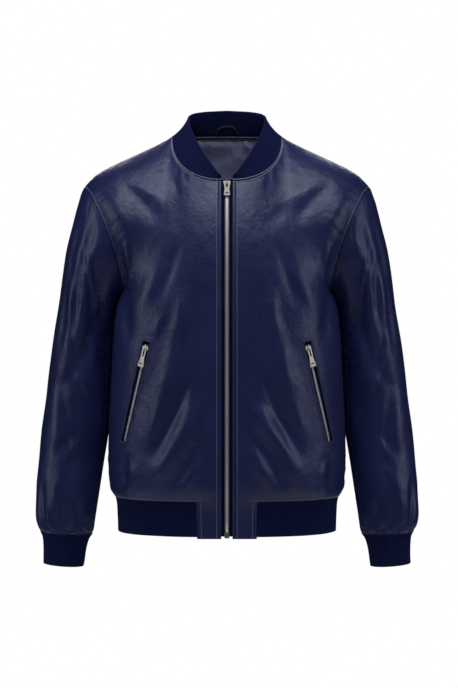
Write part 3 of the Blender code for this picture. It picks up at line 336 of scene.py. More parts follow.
def unit(v):
    return v / np.maximum(np.linalg.norm(v, axis=-1, keepdims=True), 1e-12)


def step(low, high, x):
    t = np.clip((x - low) / (high - low), 0, 1)
    return t * t * (3 - 2 * t)


def window(x, low, full, last, high):
    """0 below low, 1 from full to last, and 0 again above high."""
    return step(low, full, x) * (1 - step(last, high, x))


def bell(x, width, middle=0.0):
    return np.exp(-(((x - middle) / width) ** 2))


def run(points):
    """Distance along a line of points, from its start."""
    return np.concatenate([[0], np.cumsum(np.linalg.norm(np.diff(points, axis=0), axis=1))])


def read_line(points, steps, at):
    """The values of a line's points at some distances along it."""
    return np.stack([np.interp(at, steps, points[:, k]) for k in range(points.shape[1])], -1)


def squared_ring(u, z, side, half, depth, square):
    start = ZIP_GAP if side < 0 else 0.0
    power = 2 / square
    x = start + (half - start) * np.sin(u * math.pi / 2) ** power
    y = side * depth * np.clip(np.cos(u * math.pi / 2), 0, 1) ** power
    return np.stack([x, y, z + 0 * x], -1)


def body_ring(z, u, side):
    half, front, middle, back, square = read(BODY, z)
    points = squared_ring(u, z, side, half, front if side < 0 else back, square)
    if side < 0:
        points[..., 1] += (front - middle) * bell(points[..., 0], CENTRE_FLAT)
    return points


def top_edge(u, side):
    """The neckline, from u = 0 at the centre to the shoulder, and then the shoulder seam."""
    turn = np.clip(u / NECK_SHARE, 0, 1) * math.pi / 2
    along = np.clip((u - NECK_SHARE) / (1 - NECK_SHARE), 0, 1)
    start = ZIP_GAP if side < 0 else 0.0
    neck_x = start + (NECK_SIDE - start) * np.sin(turn) ** NECK_ROUND
    if side < 0:
        neck_y, neck_z = -NECK_FRONT * np.cos(turn), -NECK_DROP * np.cos(turn) ** NECK_FALL
    else:
        neck_y, neck_z = NECK_BACK * np.cos(turn), NECK_RISE * np.cos(turn)
    x = neck_x + (SLEEVE[0][0] - NECK_SIDE) * along
    return np.stack([x, neck_y, neck_z + read(SHOULDER, along)[0]], -1)


def body_plain(u, v, side):
    """The torso without folds. v is 0 at the hem seam, 1 at the armpit and 2 at the top."""
    low = body_ring(HEM_TOP + (ARMPIT - HEM_TOP) * np.clip(v, 0, 1), u, side)
    s = np.clip(v - 1, 0, 1)[..., None]
    foot, top = body_ring(ARMPIT + 0 * u, u, side), top_edge(u, side)
    rise = unit(foot - body_ring(ARMPIT - BELOW_ARMPIT + 0 * u, u, side))
    across, over, up = read(FRONT_ARRIVE if side < 0 else BACK_ARRIVE, u)
    arrive = unit(np.stack([across, -side * over, up], -1))
    reach = np.linalg.norm(top - foot, axis=-1)[..., None]
    high = (
        (1 + 2 * s) * (1 - s) ** 2 * foot
        + s * (1 - s) ** 2 * reach * LEAVE_PULL * rise
        + s * s * (3 - 2 * s) * top
        + s * s * (s - 1) * reach * ARRIVE_PULL * arrive
    )
    if not np.allclose(u, 1):
        edge = body_plain(np.ones_like(u), v, side)
        goal = tube(SLEEVE, -side * math.pi * (1 - s[..., 0]), 0 * u)
        pull = step(0.30, 1.0, u)[..., None] ** 1.5
        high = high + pull * (goal - edge) * (s > 0)
    return np.where((v > 1)[..., None], high, low)


def tube(table, turn, row):
    """A sleeve or cuff. turn is 0 outside, pi/2 in front, pi inside; row is the table's row."""
    rows = np.arange(len(table))
    columns = np.array(table, float).T
    x0, z0, x1, z1, front, back, scoop, forward = (curve(rows, column, row) for column in columns)
    c, s = np.cos(turn), np.sin(turn)
    draw = scoop * np.where(s > 0, s, -0.4 * s)
    x = (x0 + x1) / 2 + (x0 - x1) / 2 * c - draw
    z = (z0 + z1) / 2 + (z0 - z1) / 2 * c
    return np.stack([x, -forward - np.where(s > 0, front, back) * s, z], -1)


def tube_middle(table, turn, row):
    return 0.5 * (tube(table, 0 * turn, row) + tube(table, 0 * turn + math.pi, row))


def collar(around, height):
    """around is 0 at the centre front and 1 at the centre back; height is 0 at the seam."""
    front_u = NECK_SHARE * np.clip(around * 2, 0, 1)
    back_u = NECK_SHARE * np.clip(2 - around * 2, 0, 1)
    seam = np.where((around < 0.5)[..., None], top_edge(front_u, -1), top_edge(back_u, 1))
    top = np.stack(read(COLLAR, around), -1)
    hollow = COLLAR_HOLLOW * (np.sin(math.pi * around) * 4 * height * (1 - height))[..., None]
    return seam + (top - seam) * height[..., None] - unit(seam * (1, 1, 0)) * hollow


def band(u, z, side):
    """The hem band's ring at height z."""
    half, front, back = read(BAND, z)
    return squared_ring(u, z, side, half, front if side < 0 else back, BAND_SQUARE)


# ---------------------------------------------------------------- folds and creases
def fold_depth(px, pz, x0, z0, x1, z1, width, depth):
    """How far a straight fold draws a point in. It fades out at both ends."""
    dx, dz = x1 - x0, z1 - z0
    t = ((px - x0) * dx + (pz - z0) * dz) / (dx * dx + dz * dz)
    away = np.hypot(px - x0 - dx * np.clip(t, 0, 1), pz - z0 - dz * np.clip(t, 0, 1))
    return depth * window(t, -0.15, 0.25, 0.80, 1.10) * bell(away, width)


def crease_depth(px, pz, crease, shift):
    """How far a curved crease draws a point in. One flank is steeper than the other."""
    x0, z0, x1, z1, x2, z2, width, depth = np.array(crease, float) / 1000
    x0, x1, x2 = x0 + shift, x1 + shift, x2 + shift
    near, along, flank = np.full(px.shape, 1e9), np.zeros(px.shape), np.ones(px.shape)
    for t in np.linspace(0, 1, 25):
        cx = (1 - t) ** 2 * x0 + 2 * t * (1 - t) * x1 + t * t * x2
        cz = (1 - t) ** 2 * z0 + 2 * t * (1 - t) * z1 + t * t * z2
        tx = (1 - t) * (x1 - x0) + t * (x2 - x1)
        tz = (1 - t) * (z1 - z0) + t * (z2 - z1)
        gap = np.hypot(px - cx, pz - cz)
        closer = gap < near
        near = np.where(closer, gap, near)
        along = np.where(closer, t, along)
        flank = np.where(closer, np.sign(tx * (pz - cz) - tz * (px - cx)), flank)
    wide = width * np.where(flank > 0, 1.25, 0.75)
    return depth * window(along, -0.02, 0.42, 0.58, 1.02) * bell(near, wide)


def creased(px, pz, table, hand):
    """All creases of a table. The two hands of the jacket differ a little."""
    vary = np.random.default_rng(5 if hand > 0 else 6)
    total = np.zeros(px.shape)
    for only, *crease in table:
        shift, size = vary.uniform(-0.003, 0.003), vary.uniform(0.8, 1.2)
        if only in (0, hand):
            total += crease_depth(px, pz, crease, shift) * size
    return total


def ripples(points, size, seed, waves=14):
    """Gentle unevenness of a wide soft surface, as a height."""
    draw = np.random.default_rng(seed)
    total = np.zeros(points.shape[:2])
    for _ in range(waves):
        direction = unit(draw.normal(size=3)) * 2 * math.pi / (size * draw.uniform(0.7, 1.8))
        total += np.sin(points @ direction + draw.uniform(0, 2 * math.pi))
    return total / waves


def pocket_place(x, z):
    """How far along the pocket zip a point of the front view lies, and how far to its side."""
    top, foot = np.array(POCKET_TOP), np.array(POCKET_BOTTOM)
    length = np.linalg.norm(foot - top)
    dx, dz = (foot - top) / length
    along = (x - top[0]) * dx + (z - top[1]) * dz
    beyond = np.maximum(0, np.abs(along - length / 2) - length / 2)
    aside = (x - top[0]) * dz - (z - top[1]) * dx
    return along, np.copysign(np.hypot(aside, beyond), aside)


def torso(u, v, side, hand):
    """A half of the torso with its folds and creases, which fade out towards its seams."""
    points = body_plain(u, v, side)
    x, z = points[..., 0], points[..., 2]
    outward = unit(points * (1.0, 1.6, 0.0))
    hold = window(v, 0.0, 0.10, 1.55, 1.95) * (1 - step(0.90, 1.0, u))
    fine = window(v, 0.0, 0.05, 1.75, 1.97) * (1 - step(0.93, 1.0, u))
    if side < 0:
        folds, small = FRONT_FOLDS, creased(x, z, FRONT_CREASES, hand)
        hold, fine = hold * step(0.02, 0.16, u), fine * step(0.02, 0.14, u)
        fine = fine * step(0.5 * POCKET_CALM, 2.2 * POCKET_CALM, np.abs(pocket_place(x, z)[1]))
    else:
        folds = BACK_FOLDS
        small = creased(x, z, BACK_CREASES, hand) + creased(-x, z, BACK_CREASES, -hand)
    inwards = hold * sum(fold_depth(x, z, *fold) for fold in folds)
    small = small + 0.0022 * ripples(points * (hand, 1, 1), 0.11, 3 + side)
    return points - outward * (inwards + fine * small)[..., None]


SLEEVE_SIZE, ROW_SPACING = 0.055, 0.045  # a sleeve's mean radius, and the way between its rows
UNDERARM = 0.0022  # how far the underarm stands out


def sleeve(turn, row, hand):
    points = tube(SLEEVE, turn, row)
    outward = unit(points - tube_middle(SLEEVE, turn, row))
    degrees = (np.degrees(turn) + 180) % 360 - 180
    around, down = np.radians(degrees) * SLEEVE_SIZE, row * ROW_SPACING
    to_arc = math.radians(1) * SLEEVE_SIZE
    metres = (to_arc, ROW_SPACING, to_arc, ROW_SPACING, 1, 1)
    inwards = sum(fold_depth(around, down, *(np.array(fold) * metres)) for fold in SLEEVE_FOLDS)
    near_body = step(150, 178, np.abs(degrees))
    hold = window(row, 0.3, 1.3, 12.7, 13.0) * (1 - 0.9 * near_body)
    s = np.sin(turn)
    x, z = points[..., 0], points[..., 2]
    fine = step(0.1, 0.5, s) * creased(x, z, SLEEVE_FRONT_CREASES, hand)
    fine = fine + step(0.1, 0.5, -s) * creased(x, z, SLEEVE_BACK_CREASES, hand)
    fine = fine + (1 - near_body) * 0.0016 * ripples(points * (hand, 1, 1), 0.09, 8)
    under = step(140, 172, np.abs(degrees)) * window(row, 0.05, 0.6, 1.6, 3.4)
    calm = window(row, 0.1, 0.9, 12.75, 13.0)
    return points + outward * (UNDERARM * under - hold * inwards - calm * fine)[..., None]


# ---------------------------------------------------------------- cloth made from grids
def arc(points, axis):
    """Distance along the grid's lines in one direction, from its start."""
    steps = np.linalg.norm(np.diff(points, axis=axis), axis=-1)
    pad = [(0, 0), (0, 0)]
    pad[axis] = (1, 0)
    return np.pad(np.cumsum(steps, axis=axis), pad)


class Cloth:
    """A grid of points with outward normals and each point's distance from the grid's edges."""

    def __init__(self, points, outside, closed=False):
        self.points, self.outside, self.closed = points, outside, closed
        self.start, self.bottom = arc(points, 0), arc(points, 1)
        self.end = self.start[-1:] - self.start
        self.top = self.bottom[:, -1:] - self.bottom
        self.find_normals()

    def find_normals(self):
        points, outside = self.points, self.outside
        if self.closed:
            points, outside = (np.concatenate([g[-1:], g, g[:1]]) for g in (points, outside))
        n = unit(np.cross(np.gradient(points, axis=0), np.gradient(points, axis=1)))
        n = n * np.where(np.sum(n * outside, -1) < 0, -1, 1)[..., None]
        self.out = n[1:-1] if self.closed else n

    def push(self, inwards):
        self.points = self.points - self.out * inwards[..., None]
        self.find_normals()

    def line(self, edge, distance, keep=slice(None)):
        """The points at a distance from an edge, and their normals."""
        gap, grids = getattr(self, edge), [self.points, self.out]
        if edge in ("bottom", "top"):
            gap, grids = gap.T, [g.transpose(1, 0, 2) for g in grids]
        sign = 1 if edge in ("start", "bottom") else -1
        gap, lines = gap[::sign], range(gap.shape[1])
        where, out = (
            np.array([read_line(g[::sign, j], gap[:, j], distance) for j in lines])[keep] for g in grids
        )
        return where, unit(out)


def make_mesh(name, vertices, faces, materials, uv=None, slots=None, sharp=40):
    """A mesh from arrays: faces is (n, 4), uv a pair for each vertex, slots a number for each face."""
    a, b, c, d = (vertices[faces][:, k] for k in range(4))
    volume = np.sum(a * np.cross(b, c)) + np.sum(a * np.cross(c, d))
    if volume < 0:
        faces = faces[:, ::-1]
    mesh = bpy.data.meshes.new(name)
    mesh.vertices.add(len(vertices))
    mesh.vertices.foreach_set("co", vertices.astype(np.float32).ravel())
    mesh.loops.add(faces.size)
    mesh.loops.foreach_set("vertex_index", faces.astype(np.int32).ravel())
    mesh.polygons.add(len(faces))
    mesh.polygons.foreach_set("loop_start", np.arange(0, faces.size, 4, dtype=np.int32))
    if slots is not None:
        mesh.polygons.foreach_set("material_index", slots.astype(np.int32))
    mesh.update(calc_edges=True)
    mesh.validate()
    if uv is not None:
        layer = mesh.uv_layers.new(name="UVMap")
        layer.data.foreach_set("uv", uv[faces.ravel()].astype(np.float32).ravel())
    mesh.shade_smooth()
    mesh.set_sharp_from_angle(angle=math.radians(sharp))
    for made in materials:
        mesh.materials.append(made)
    piece = bpy.data.objects.new(name, mesh)
    bpy.context.scene.collection.objects.link(piece)
    return piece


def wall_faces(keep, closed, joined_bottom=0, joined_top=0):
    """Faces of the outer grid, of the inner one that follows it, and of the rims between them.

    keep says which cells there are. A cell whose edge is joined to other cloth has no rim there.
    """
    cells, rows = keep.shape[0], keep.shape[1] + 1
    columns = cells if closed else cells + 1
    count = columns * rows
    i, j = grid(np.arange(cells), np.arange(rows - 1))
    k = (i + 1) % columns
    a, b, c, d = i * rows + j, k * rows + j, k * rows + j + 1, i * rows + j + 1
    wide = np.pad(keep, ((0, 0), (1, 1)))
    wide[:joined_bottom, 0] = True
    wide[:joined_top, -1] = True
    if closed:
        beside = np.roll(keep, 1, 0), np.roll(keep, -1, 0)
    else:
        beside = np.pad(keep, ((1, 0), (0, 0)))[:-1], np.pad(keep, ((0, 1), (0, 0)))[1:]
    rims = []
    sides = (b, a, wide[:, :-2]), (c, b, beside[1]), (d, c, wide[:, 2:]), (a, d, beside[0])
    for first, second, neighbour in sides:
        edge = keep & ~neighbour
        one, two = first[edge], second[edge]
        rims.append(np.stack([one, two, two + count, one + count], -1))
    outer = np.stack([a[keep], b[keep], c[keep], d[keep]], -1)
    return outer, outer[:, ::-1] + count, np.concatenate(rims)


def all_cells(cloth):
    columns, rows = cloth.points.shape[:2]
    return np.ones((columns if cloth.closed else columns - 1, rows - 1), bool)


EDGE_RADIUS, EDGE_THIN = 0.0009, 0.42  # how a cut edge is rounded, and what it loses of its thickness


def wall(cloth, thick, near=None, keep=None, **joined):
    """A closed wall of cloth as arrays. near is the distance to its turned, rounded edges."""
    inset = np.zeros(cloth.points.shape[:2])
    if near is not None:
        t = np.clip(1 - near / EDGE_RADIUS, 0, 1)
        inset = (1 - np.sqrt(1 - t * t)) * EDGE_THIN * thick
    outer = cloth.points - cloth.out * inset[..., None]
    inner = cloth.points - cloth.out * (thick - inset)[..., None]
    faces = wall_faces(all_cells(cloth) if keep is None else keep, cloth.closed, **joined)
    slots = np.concatenate([np.full(len(f), k) for f, k in zip(faces, (0, 1, 0))])
    uv = np.stack([cloth.start, cloth.bottom], -1).reshape(-1, 2)
    vertices = np.concatenate([outer.reshape(-1, 3), inner.reshape(-1, 3)])
    return vertices, np.concatenate(faces), np.concatenate([uv, uv]), slots


def piece_of(name, walls, materials, hand=1, weld=False):
    """One mesh from one or more walls. The right hand of the jacket has hand = -1."""
    vertices, faces, uvs, slots = zip(*walls)
    starts = np.cumsum([0] + [len(where) for where in vertices])
    faces = np.concatenate([cells + start for cells, start in zip(faces, starts)])
    where, uv, slot = map(np.concatenate, (vertices, uvs, slots))
    made = make_mesh(name, where * (hand, 1, 1), faces, materials, uv, slot)
    if weld:
        shape = bmesh.new()
        shape.from_mesh(made.data)
        bmesh.ops.remove_doubles(shape, verts=shape.verts, dist=1e-6)
        shape.to_mesh(made.data)
        shape.free()
        made.data.shade_smooth()
        made.data.set_sharp_from_angle(angle=math.radians(40))
    return made


def rod_faces(count, sides, closed=False, caps=None):
    """Faces of a solid that runs through rings of corners. Its ends are flat, or it is closed."""
    i, k = grid(np.arange(count if closed else count - 1), np.arange(sides))
    n, m = (i + 1) % count, (k + 1) % sides
    faces = np.stack([i * sides + k, i * sides + m, n * sides + m, n * sides + k], -1).reshape(-1, 4)
    if closed:
        return faces
    if caps is None:
        caps = [[0, j, j + 1, j + 2] for j in range(1, sides - 1, 2)]
    caps = np.array(caps)
    return np.concatenate([faces, caps[:, ::-1], caps + (count - 1) * sides])


def swept(name, rings, look, hand=1, closed=False):
    """A solid whose sections are the rings, (sections, corners, 3)."""
    faces = rod_faces(*rings.shape[:2], closed)
    return make_mesh(name, rings.reshape(-1, 3) * (hand, 1, 1), faces, [look])


# Distances from an edge at which a grid has lines, so that its rolled edge and sewing have form.
NEAR_EDGE = (0, 0.0003, 0.0007, 0.0012, 0.0020, 0.0029, 0.0038)
NEAR_EDGE += (0.0046, 0.0054, 0.0062, 0.0070, 0.0080, 0.0095)


def spread(points, values, pitch, start=NEAR_EDGE, end=NEAR_EDGE):
    """Values along a curve whose points lie about a pitch apart, and closer together at its ends."""
    at = run(points)
    first, last = start[-1], at[-1] - end[-1]
    middle = np.linspace(first, last, max(2, int(round((last - first) / pitch)) + 1))[1:-1]
    return np.interp(np.concatenate([start, middle, at[-1] - np.array(end)[::-1]]), at, values)


# ---------------------------------------------------------------- materials
class Look:
    """A material with procedural nodes."""

    def __init__(self, name, colour, roughness, metallic=0.0, **sockets):
        self.made = bpy.data.materials.new(name)
        self.made.use_nodes = True
        self.nodes, self.links = self.made.node_tree.nodes, self.made.node_tree.links
        self.shader, self.normal = self.nodes["Principled BSDF"], None
        sockets |= {"Base Color": (*colour, 1), "Roughness": roughness, "Metallic": metallic}
        for socket, value in sockets.items():
            self.shader.inputs[socket.replace("_", " ")].default_value = value
        self.where = self.node("TexCoord").outputs["Object"]

    def node(self, kind, ins=(), **settings):
        """A new node. ins are (socket, source output or value) pairs."""
        made = self.nodes.new("ShaderNode" + kind)
        for key, value in settings.items():
            setattr(made, key, value)
        for socket, source in ins:
            if isinstance(source, bpy.types.NodeSocket):
                self.links.new(source, made.inputs[socket])
            else:
                made.inputs[socket].default_value = source
        return made

    def math(self, operation, first, second=0.0):
        return self.node("Math", [(0, first), (1, second)], operation=operation).outputs[0]

    def noise(self, scale, detail=3, rough=0.55):
        ins = [("Vector", self.where), ("Scale", scale), ("Detail", detail), ("Roughness", rough)]
        return self.node("TexNoise", ins).outputs["Fac"]

    def uv(self):
        return self.node("SeparateXYZ", [(0, self.node("UVMap").outputs[0])]).outputs

    def paint(self, factor, first, second, low=0.3, high=0.7):
        """A base colour that goes from first, at low, to second, at high."""
        share = self.node("MapRange", [("Value", factor), ("From Min", low), ("From Max", high)])
        mix = self.node("Mix", [("Factor", share.outputs[0])], data_type="RGBA")
        mix.inputs[6].default_value, mix.inputs[7].default_value = (*first, 1), (*second, 1)
        self.links.new(mix.outputs[2], self.shader.inputs["Base Color"])

    def gloss(self, factor, smooth, rough):
        """Roughness goes from smooth to rough with the factor."""
        share = {"Value": factor, "From Min": 0.3, "From Max": 0.7, "To Min": smooth, "To Max": rough}
        made = self.node("MapRange", share.items())
        self.links.new(made.outputs[0], self.shader.inputs["Roughness"])

    def bump(self, height, strength, distance):
        """Raises the surface by a height, on top of the bumps it has already."""
        made = self.node("Bump", [("Height", height), ("Strength", strength), ("Distance", distance)])
        if self.normal is not None:
            self.links.new(self.normal, made.inputs["Normal"])
        self.normal = made.outputs[0]
        self.links.new(self.normal, self.shader.inputs["Normal"])


# Unevenness of leather: size of the noise, detail, roughness, depth.
UNEVEN = ((190, 4, 0.6, 0.00030), (95, 3, 0.5, 0.00036), (30, 3, 0.5, 0.0017))


def leather():
    """Dyed, lightly polished leather: tone in clouds, fine pores and three sizes of unevenness."""
    tint = (0.82, 0.88, 1.0, 1)
    look = Look("leather", (0.019, 0.026, 0.115), 0.45, Specular_IOR_Level=0.5, Specular_Tint=tint)
    look.paint(look.noise(9, 4), (0.011, 0.016, 0.080), (0.019, 0.026, 0.116))
    look.gloss(look.noise(70, 4, 0.65), 0.33, 0.43)
    ins = [("Vector", look.where), ("Scale", 850.0), ("Randomness", 0.9)]
    grain = look.node("TexVoronoi", ins, feature="DISTANCE_TO_EDGE")
    look.bump(look.math("MINIMUM", grain.outputs["Distance"], 0.18), 0.25, 0.0006)
    for scale, detail, rough, depth in UNEVEN:
        look.bump(look.noise(scale, detail, rough), 1.0, depth)
    return look.made


def edge_painted_highlight():
    """Leather where it is rolled over a seam, polished and painted much paler: a painted highlight
    along the seam.
    """
    look = Look("edge_painted_highlight", (0.24, 0.25, 0.38), 0.36)
    look.paint(look.noise(160, 4, 0.6), (0.17, 0.18, 0.29), (0.33, 0.34, 0.48))
    look.bump(look.noise(700, 3), 0.6, 0.0002)
    return look.made


def backing():
    """The side of the leather that faces the wearer, behind a thin dark backing."""
    look = Look("backing", (0.010, 0.012, 0.026), 0.85)
    look.bump(look.noise(900, 2), 0.3, 0.0003)
    look.paint(look.noise(30), (0.008, 0.010, 0.021), (0.013, 0.015, 0.031))
    return look.made


def rib_knit():
    """Rib knit. U counts ribs and V counts stitches, so that each rib is a column of V shapes. Its
    colour is painted darker where the knit is low: painted shade in the grooves.
    """
    sheen = {"Sheen_Weight": 0.05, "Sheen_Tint": (0.25, 0.3, 0.6, 1)}
    look = Look("rib_knit", (0.006, 0.010, 0.058), 1.0, Specular_IOR_Level=0.12, **sheen)
    u, v = look.uv()[:2]
    side = look.math("ABSOLUTE", look.math("SUBTRACT", look.math("FRACT", u), 0.5))
    wave = look.math("PINGPONG", look.math("ADD", v, look.math("MULTIPLY", side, 1.6)), 0.5)
    centre = look.math("MULTIPLY", look.math("MINIMUM", side, 0.12), 4.0)
    yarn = look.math("ADD", wave, centre)
    look.bump(yarn, 0.55, 0.0007)
    # The colour follows the knit's height and is darker in its grooves: painted shade, with random tone
    # from the noise.
    tone = look.math("ADD", yarn, look.noise(700, 3))
    look.paint(tone, (0.0036, 0.006, 0.033), (0.0082, 0.0135, 0.074), 0.35, 1.35)
    return look.made


def weave(name, dark, light, roughness, pitch, strength, **sockets):
    """Plain weave. U and V are in metres."""
    look = Look(name, light, roughness, **sockets)
    turns = 2 * math.pi / pitch
    threads = [look.math("SINE", look.math("MULTIPLY", way, turns)) for way in look.uv()[:2]]
    look.bump(look.math("MULTIPLY", *threads), strength, pitch * 0.4)
    look.paint(look.noise(60), dark, light)
    return look.made


def metal(name, dark, light, smooth=0.26, rough=0.42):
    look = Look(name, light, 0.3, 1.0)
    worn = look.noise(400, 4)
    look.gloss(worn, smooth, rough)
    look.paint(worn, dark, light)
    look.bump(worn, 0.08, 0.0003)
    return look.made


def thread(name, dark, light):
    look = Look(name, light, 0.5, Sheen_Weight=0.2)
    ins = [("Vector", look.where), ("Scale", 900.0), ("Distortion", 2.0)]
    twist = look.node("TexWave", ins, bands_direction="DIAGONAL").outputs["Fac"]
    look.bump(twist, 0.4, 0.0002)
    look.paint(twist, dark, light, 0.0, 1.0)
    return look.made


# The second of these is pale leather that paints a highlight on the neckline's rolled edges.
LEATHER_LOOK, EDGE_HIGHLIGHT_LOOK, BACKING_LOOK, KNIT_LOOK = leather(), edge_painted_highlight(), backing(), rib_knit()
SATIN = (0.27, 0.29, 0.54), (0.40, 0.42, 0.72)
ZIP_CLOTH = (0.003, 0.0045, 0.028), (0.006, 0.0085, 0.048)
SATIN_LOOK = weave("satin", *SATIN, 0.27, 0.0005, 0.15, Sheen_Weight=0.3, Anisotropic=0.5)
TAPE_LOOK = weave("zip_tape", *ZIP_CLOTH, 0.95, 0.0009, 0.6, Specular_IOR_Level=0.08)
NECK_CLOTH = (0.010, 0.011, 0.024), (0.016, 0.018, 0.038)
WELT_LOOK = weave("neck_tape", *NECK_CLOTH, 0.42, 0.0007, 0.4, Sheen_Weight=0.2)
LOOP_LOOK = weave("loop", (0.003, 0.004, 0.012), (0.006, 0.007, 0.020), 0.6, 0.0006, 0.4)
HIDE = [LEATHER_LOOK, BACKING_LOOK]
METAL_LOOK = metal("nickel", (0.30, 0.295, 0.275), (0.46, 0.45, 0.42))
# A much darker copy of the nickel, for the front slider and its pull: painted shade.
SHADED_NICKEL_LOOK = metal("nickel_painted_shade", (0.07, 0.07, 0.065), (0.17, 0.168, 0.16))
# A much paler copy of the nickel, for the zip teeth: painted light.
LIT_TEETH_LOOK = metal("nickel_teeth_painted_light", (0.78, 0.785, 0.78), (0.95, 0.95, 0.945), 0.46, 0.62)
THREAD_LOOK = thread("thread", (0.22, 0.24, 0.38), (0.40, 0.43, 0.60))
DARK_THREAD_LOOK = thread("dark_thread", (0.03, 0.035, 0.10), (0.07, 0.08, 0.19))


def finish_piece(piece, slot, *nodes, body="jacket"):
    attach(piece, body)
    if nodes:
        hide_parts(*nodes)
    return piece


# ---------------------------------------------------------------- sewing
# One stitch's sections: share of its length, height and size as shares of the thread's radius.
STITCH_RINGS = ((-0.5, -0.9, 0.25), (-0.30, 0.55, 1.0), (0.30, 0.55, 1.0), (0.5, -0.9, 0.25))
STITCH_SIDES = 6
STITCH_ENDS = 0.002  # a row of stitches starts and ends this far from its line's ends


def round_section(centre, side, up, radius, sides):
    """Corners of round sections. All but sides broadcast."""
    angle = (2 * math.pi * np.arange(sides) / sides)[:, None]
    centre, side, up = (v[..., None, :] for v in (centre, side, up))
    return centre + radius * (side * np.cos(angle) + up * np.sin(angle))


def stitches(name, lines, look):
    """Short rounded stitches along lines of (points, normals), joined as one mesh."""
    pattern = rod_faces(len(STITCH_RINGS), STITCH_SIDES)
    made = []
    for points, out in lines:
        at = run(points)
        length = at[-1] - 2 * STITCH_ENDS
        count = max(2, int(length / (STITCH + STITCH_GAP)))
        here = STITCH_ENDS + length * (np.arange(count) + 0.5) / count
        where, ahead, behind = (read_line(points, at, here + d) for d in (0, 1e-3, -1e-3))
        along, up = unit(ahead - behind), unit(read_line(out, at, here))
        up = unit(up - along * np.sum(up * along, -1, keepdims=True))
        side = np.cross(along, up)
        rings = []
        for share, lift, wide in STITCH_RINGS:
            centre = where + along * STITCH * share + up * THREAD * lift
            rings.append(round_section(centre, side, up, THREAD * wide, STITCH_SIDES))
        made.append(np.stack(rings, 1).reshape(-1, 3))
    vertices = np.concatenate(made)
    size = len(STITCH_RINGS) * STITCH_SIDES
    faces = pattern[None] + np.arange(0, len(vertices), size)[:, None, None]
    return finish_piece(make_mesh(name, vertices, faces.reshape(-1, 4), [look]), "zip_tape")


def cord(name, points, out):
    """A rolled leather edge that stands half out of the cloth along a line. Its pale leather is a
    painted highlight.
    """
    along = unit(np.gradient(points, axis=0))
    rings = round_section(points, unit(np.cross(along, out)), out, NECK_CORD, 8)
    return finish_piece(swept(name, rings, EDGE_HIGHLIGHT_LOOK), "leather")


def puckered(gap, line, along, depth):
    """The dimples that a row of sewing leaves: a valley at the thread, deeper at each hole."""
    pitch = 2.2 * (STITCH + STITCH_GAP)
    return depth * bell(gap, 0.0011, line) * (0.7 + 0.3 * np.cos(2 * math.pi * along / pitch))


def sewn_zip_edge(cloth):
    """The folded edge beside the zip: a plump strip, a ditch, and the topstitching next to it."""
    cloth.push(
        0.0011 * bell(cloth.start, 0.0009, ZIP_DITCH + 0.0006)
        - 0.0005 * bell(cloth.start, 0.0016, 0.0024)
        - 0.0005 * bell(cloth.start, 0.0011, 0.0064)
        + puckered(cloth.start, ZIP_STITCH, cloth.bottom, 0.0006)
    )


def waves(along, seed, count, shortest, longest):
    """A sum of sine waves along a line, of random lengths."""
    draw = np.random.default_rng(seed)
    return sum(
        np.sin(2 * math.pi * along / draw.uniform(shortest, longest) + draw.uniform(0, 6))
        for _ in range(count)
    )


def seam_swell(gap, along, seed, size=0.0009, reach=0.007):
    """Leather swells unevenly beside a seam that holds it in."""
    beat = waves(along, seed, 5, 0.009, 0.034)
    return -size * (0.55 + 0.16 * beat) * (gap / reach) * np.exp(1 - gap / reach)


def neck_bead(gap):
    """The leather's rolled edge along the collar, the ditch below it, and the ridge beside that."""
    return (
        -0.0010 * bell(gap, 0.0009, 0.0011)
        + 0.0013 * bell(gap, 0.0011, 0.0034)
        - 0.0007 * bell(gap, 0.0009, TOPSTITCH)
    )


# ---------------------------------------------------------------- leather panels
BLOCK_U = math.asin(((TAB_EDGE - ZIP_GAP) / (BAND[0][1] - ZIP_GAP)) ** (BAND_SQUARE / 2)) * 2 / math.pi
# Shares of the block's width, from its side, at which the front's grid has lines too.
BLOCK_LINES = (0, 0.02, 0.05, 0.10, 0.16, 0.24)
FRONT_ACROSS, FRONT_UP, BACK_PITCH, SLEEVE_PITCH = 0.0029, 0.0033, 0.0037, 0.0032
MOUTH_HALF, MOUTH_PAST = 0.0068, 0.0045  # what is cut out of a front for its pocket
BLOCK_FOOT_STITCH = 0.0046


def panel_grid(side, pitch_across, pitch_up, start=NEAR_EDGE):
    """The lines of a panel's grid, across it and up it."""
    t = np.linspace(0, 1, SAMPLES)
    u = spread(body_plain(t, 0 * t + 0.8, side), t, pitch_across, start=start)
    v = spread(body_plain(0 * t + 0.45, 2 * t, side), 2 * t, pitch_up)
    return u, v


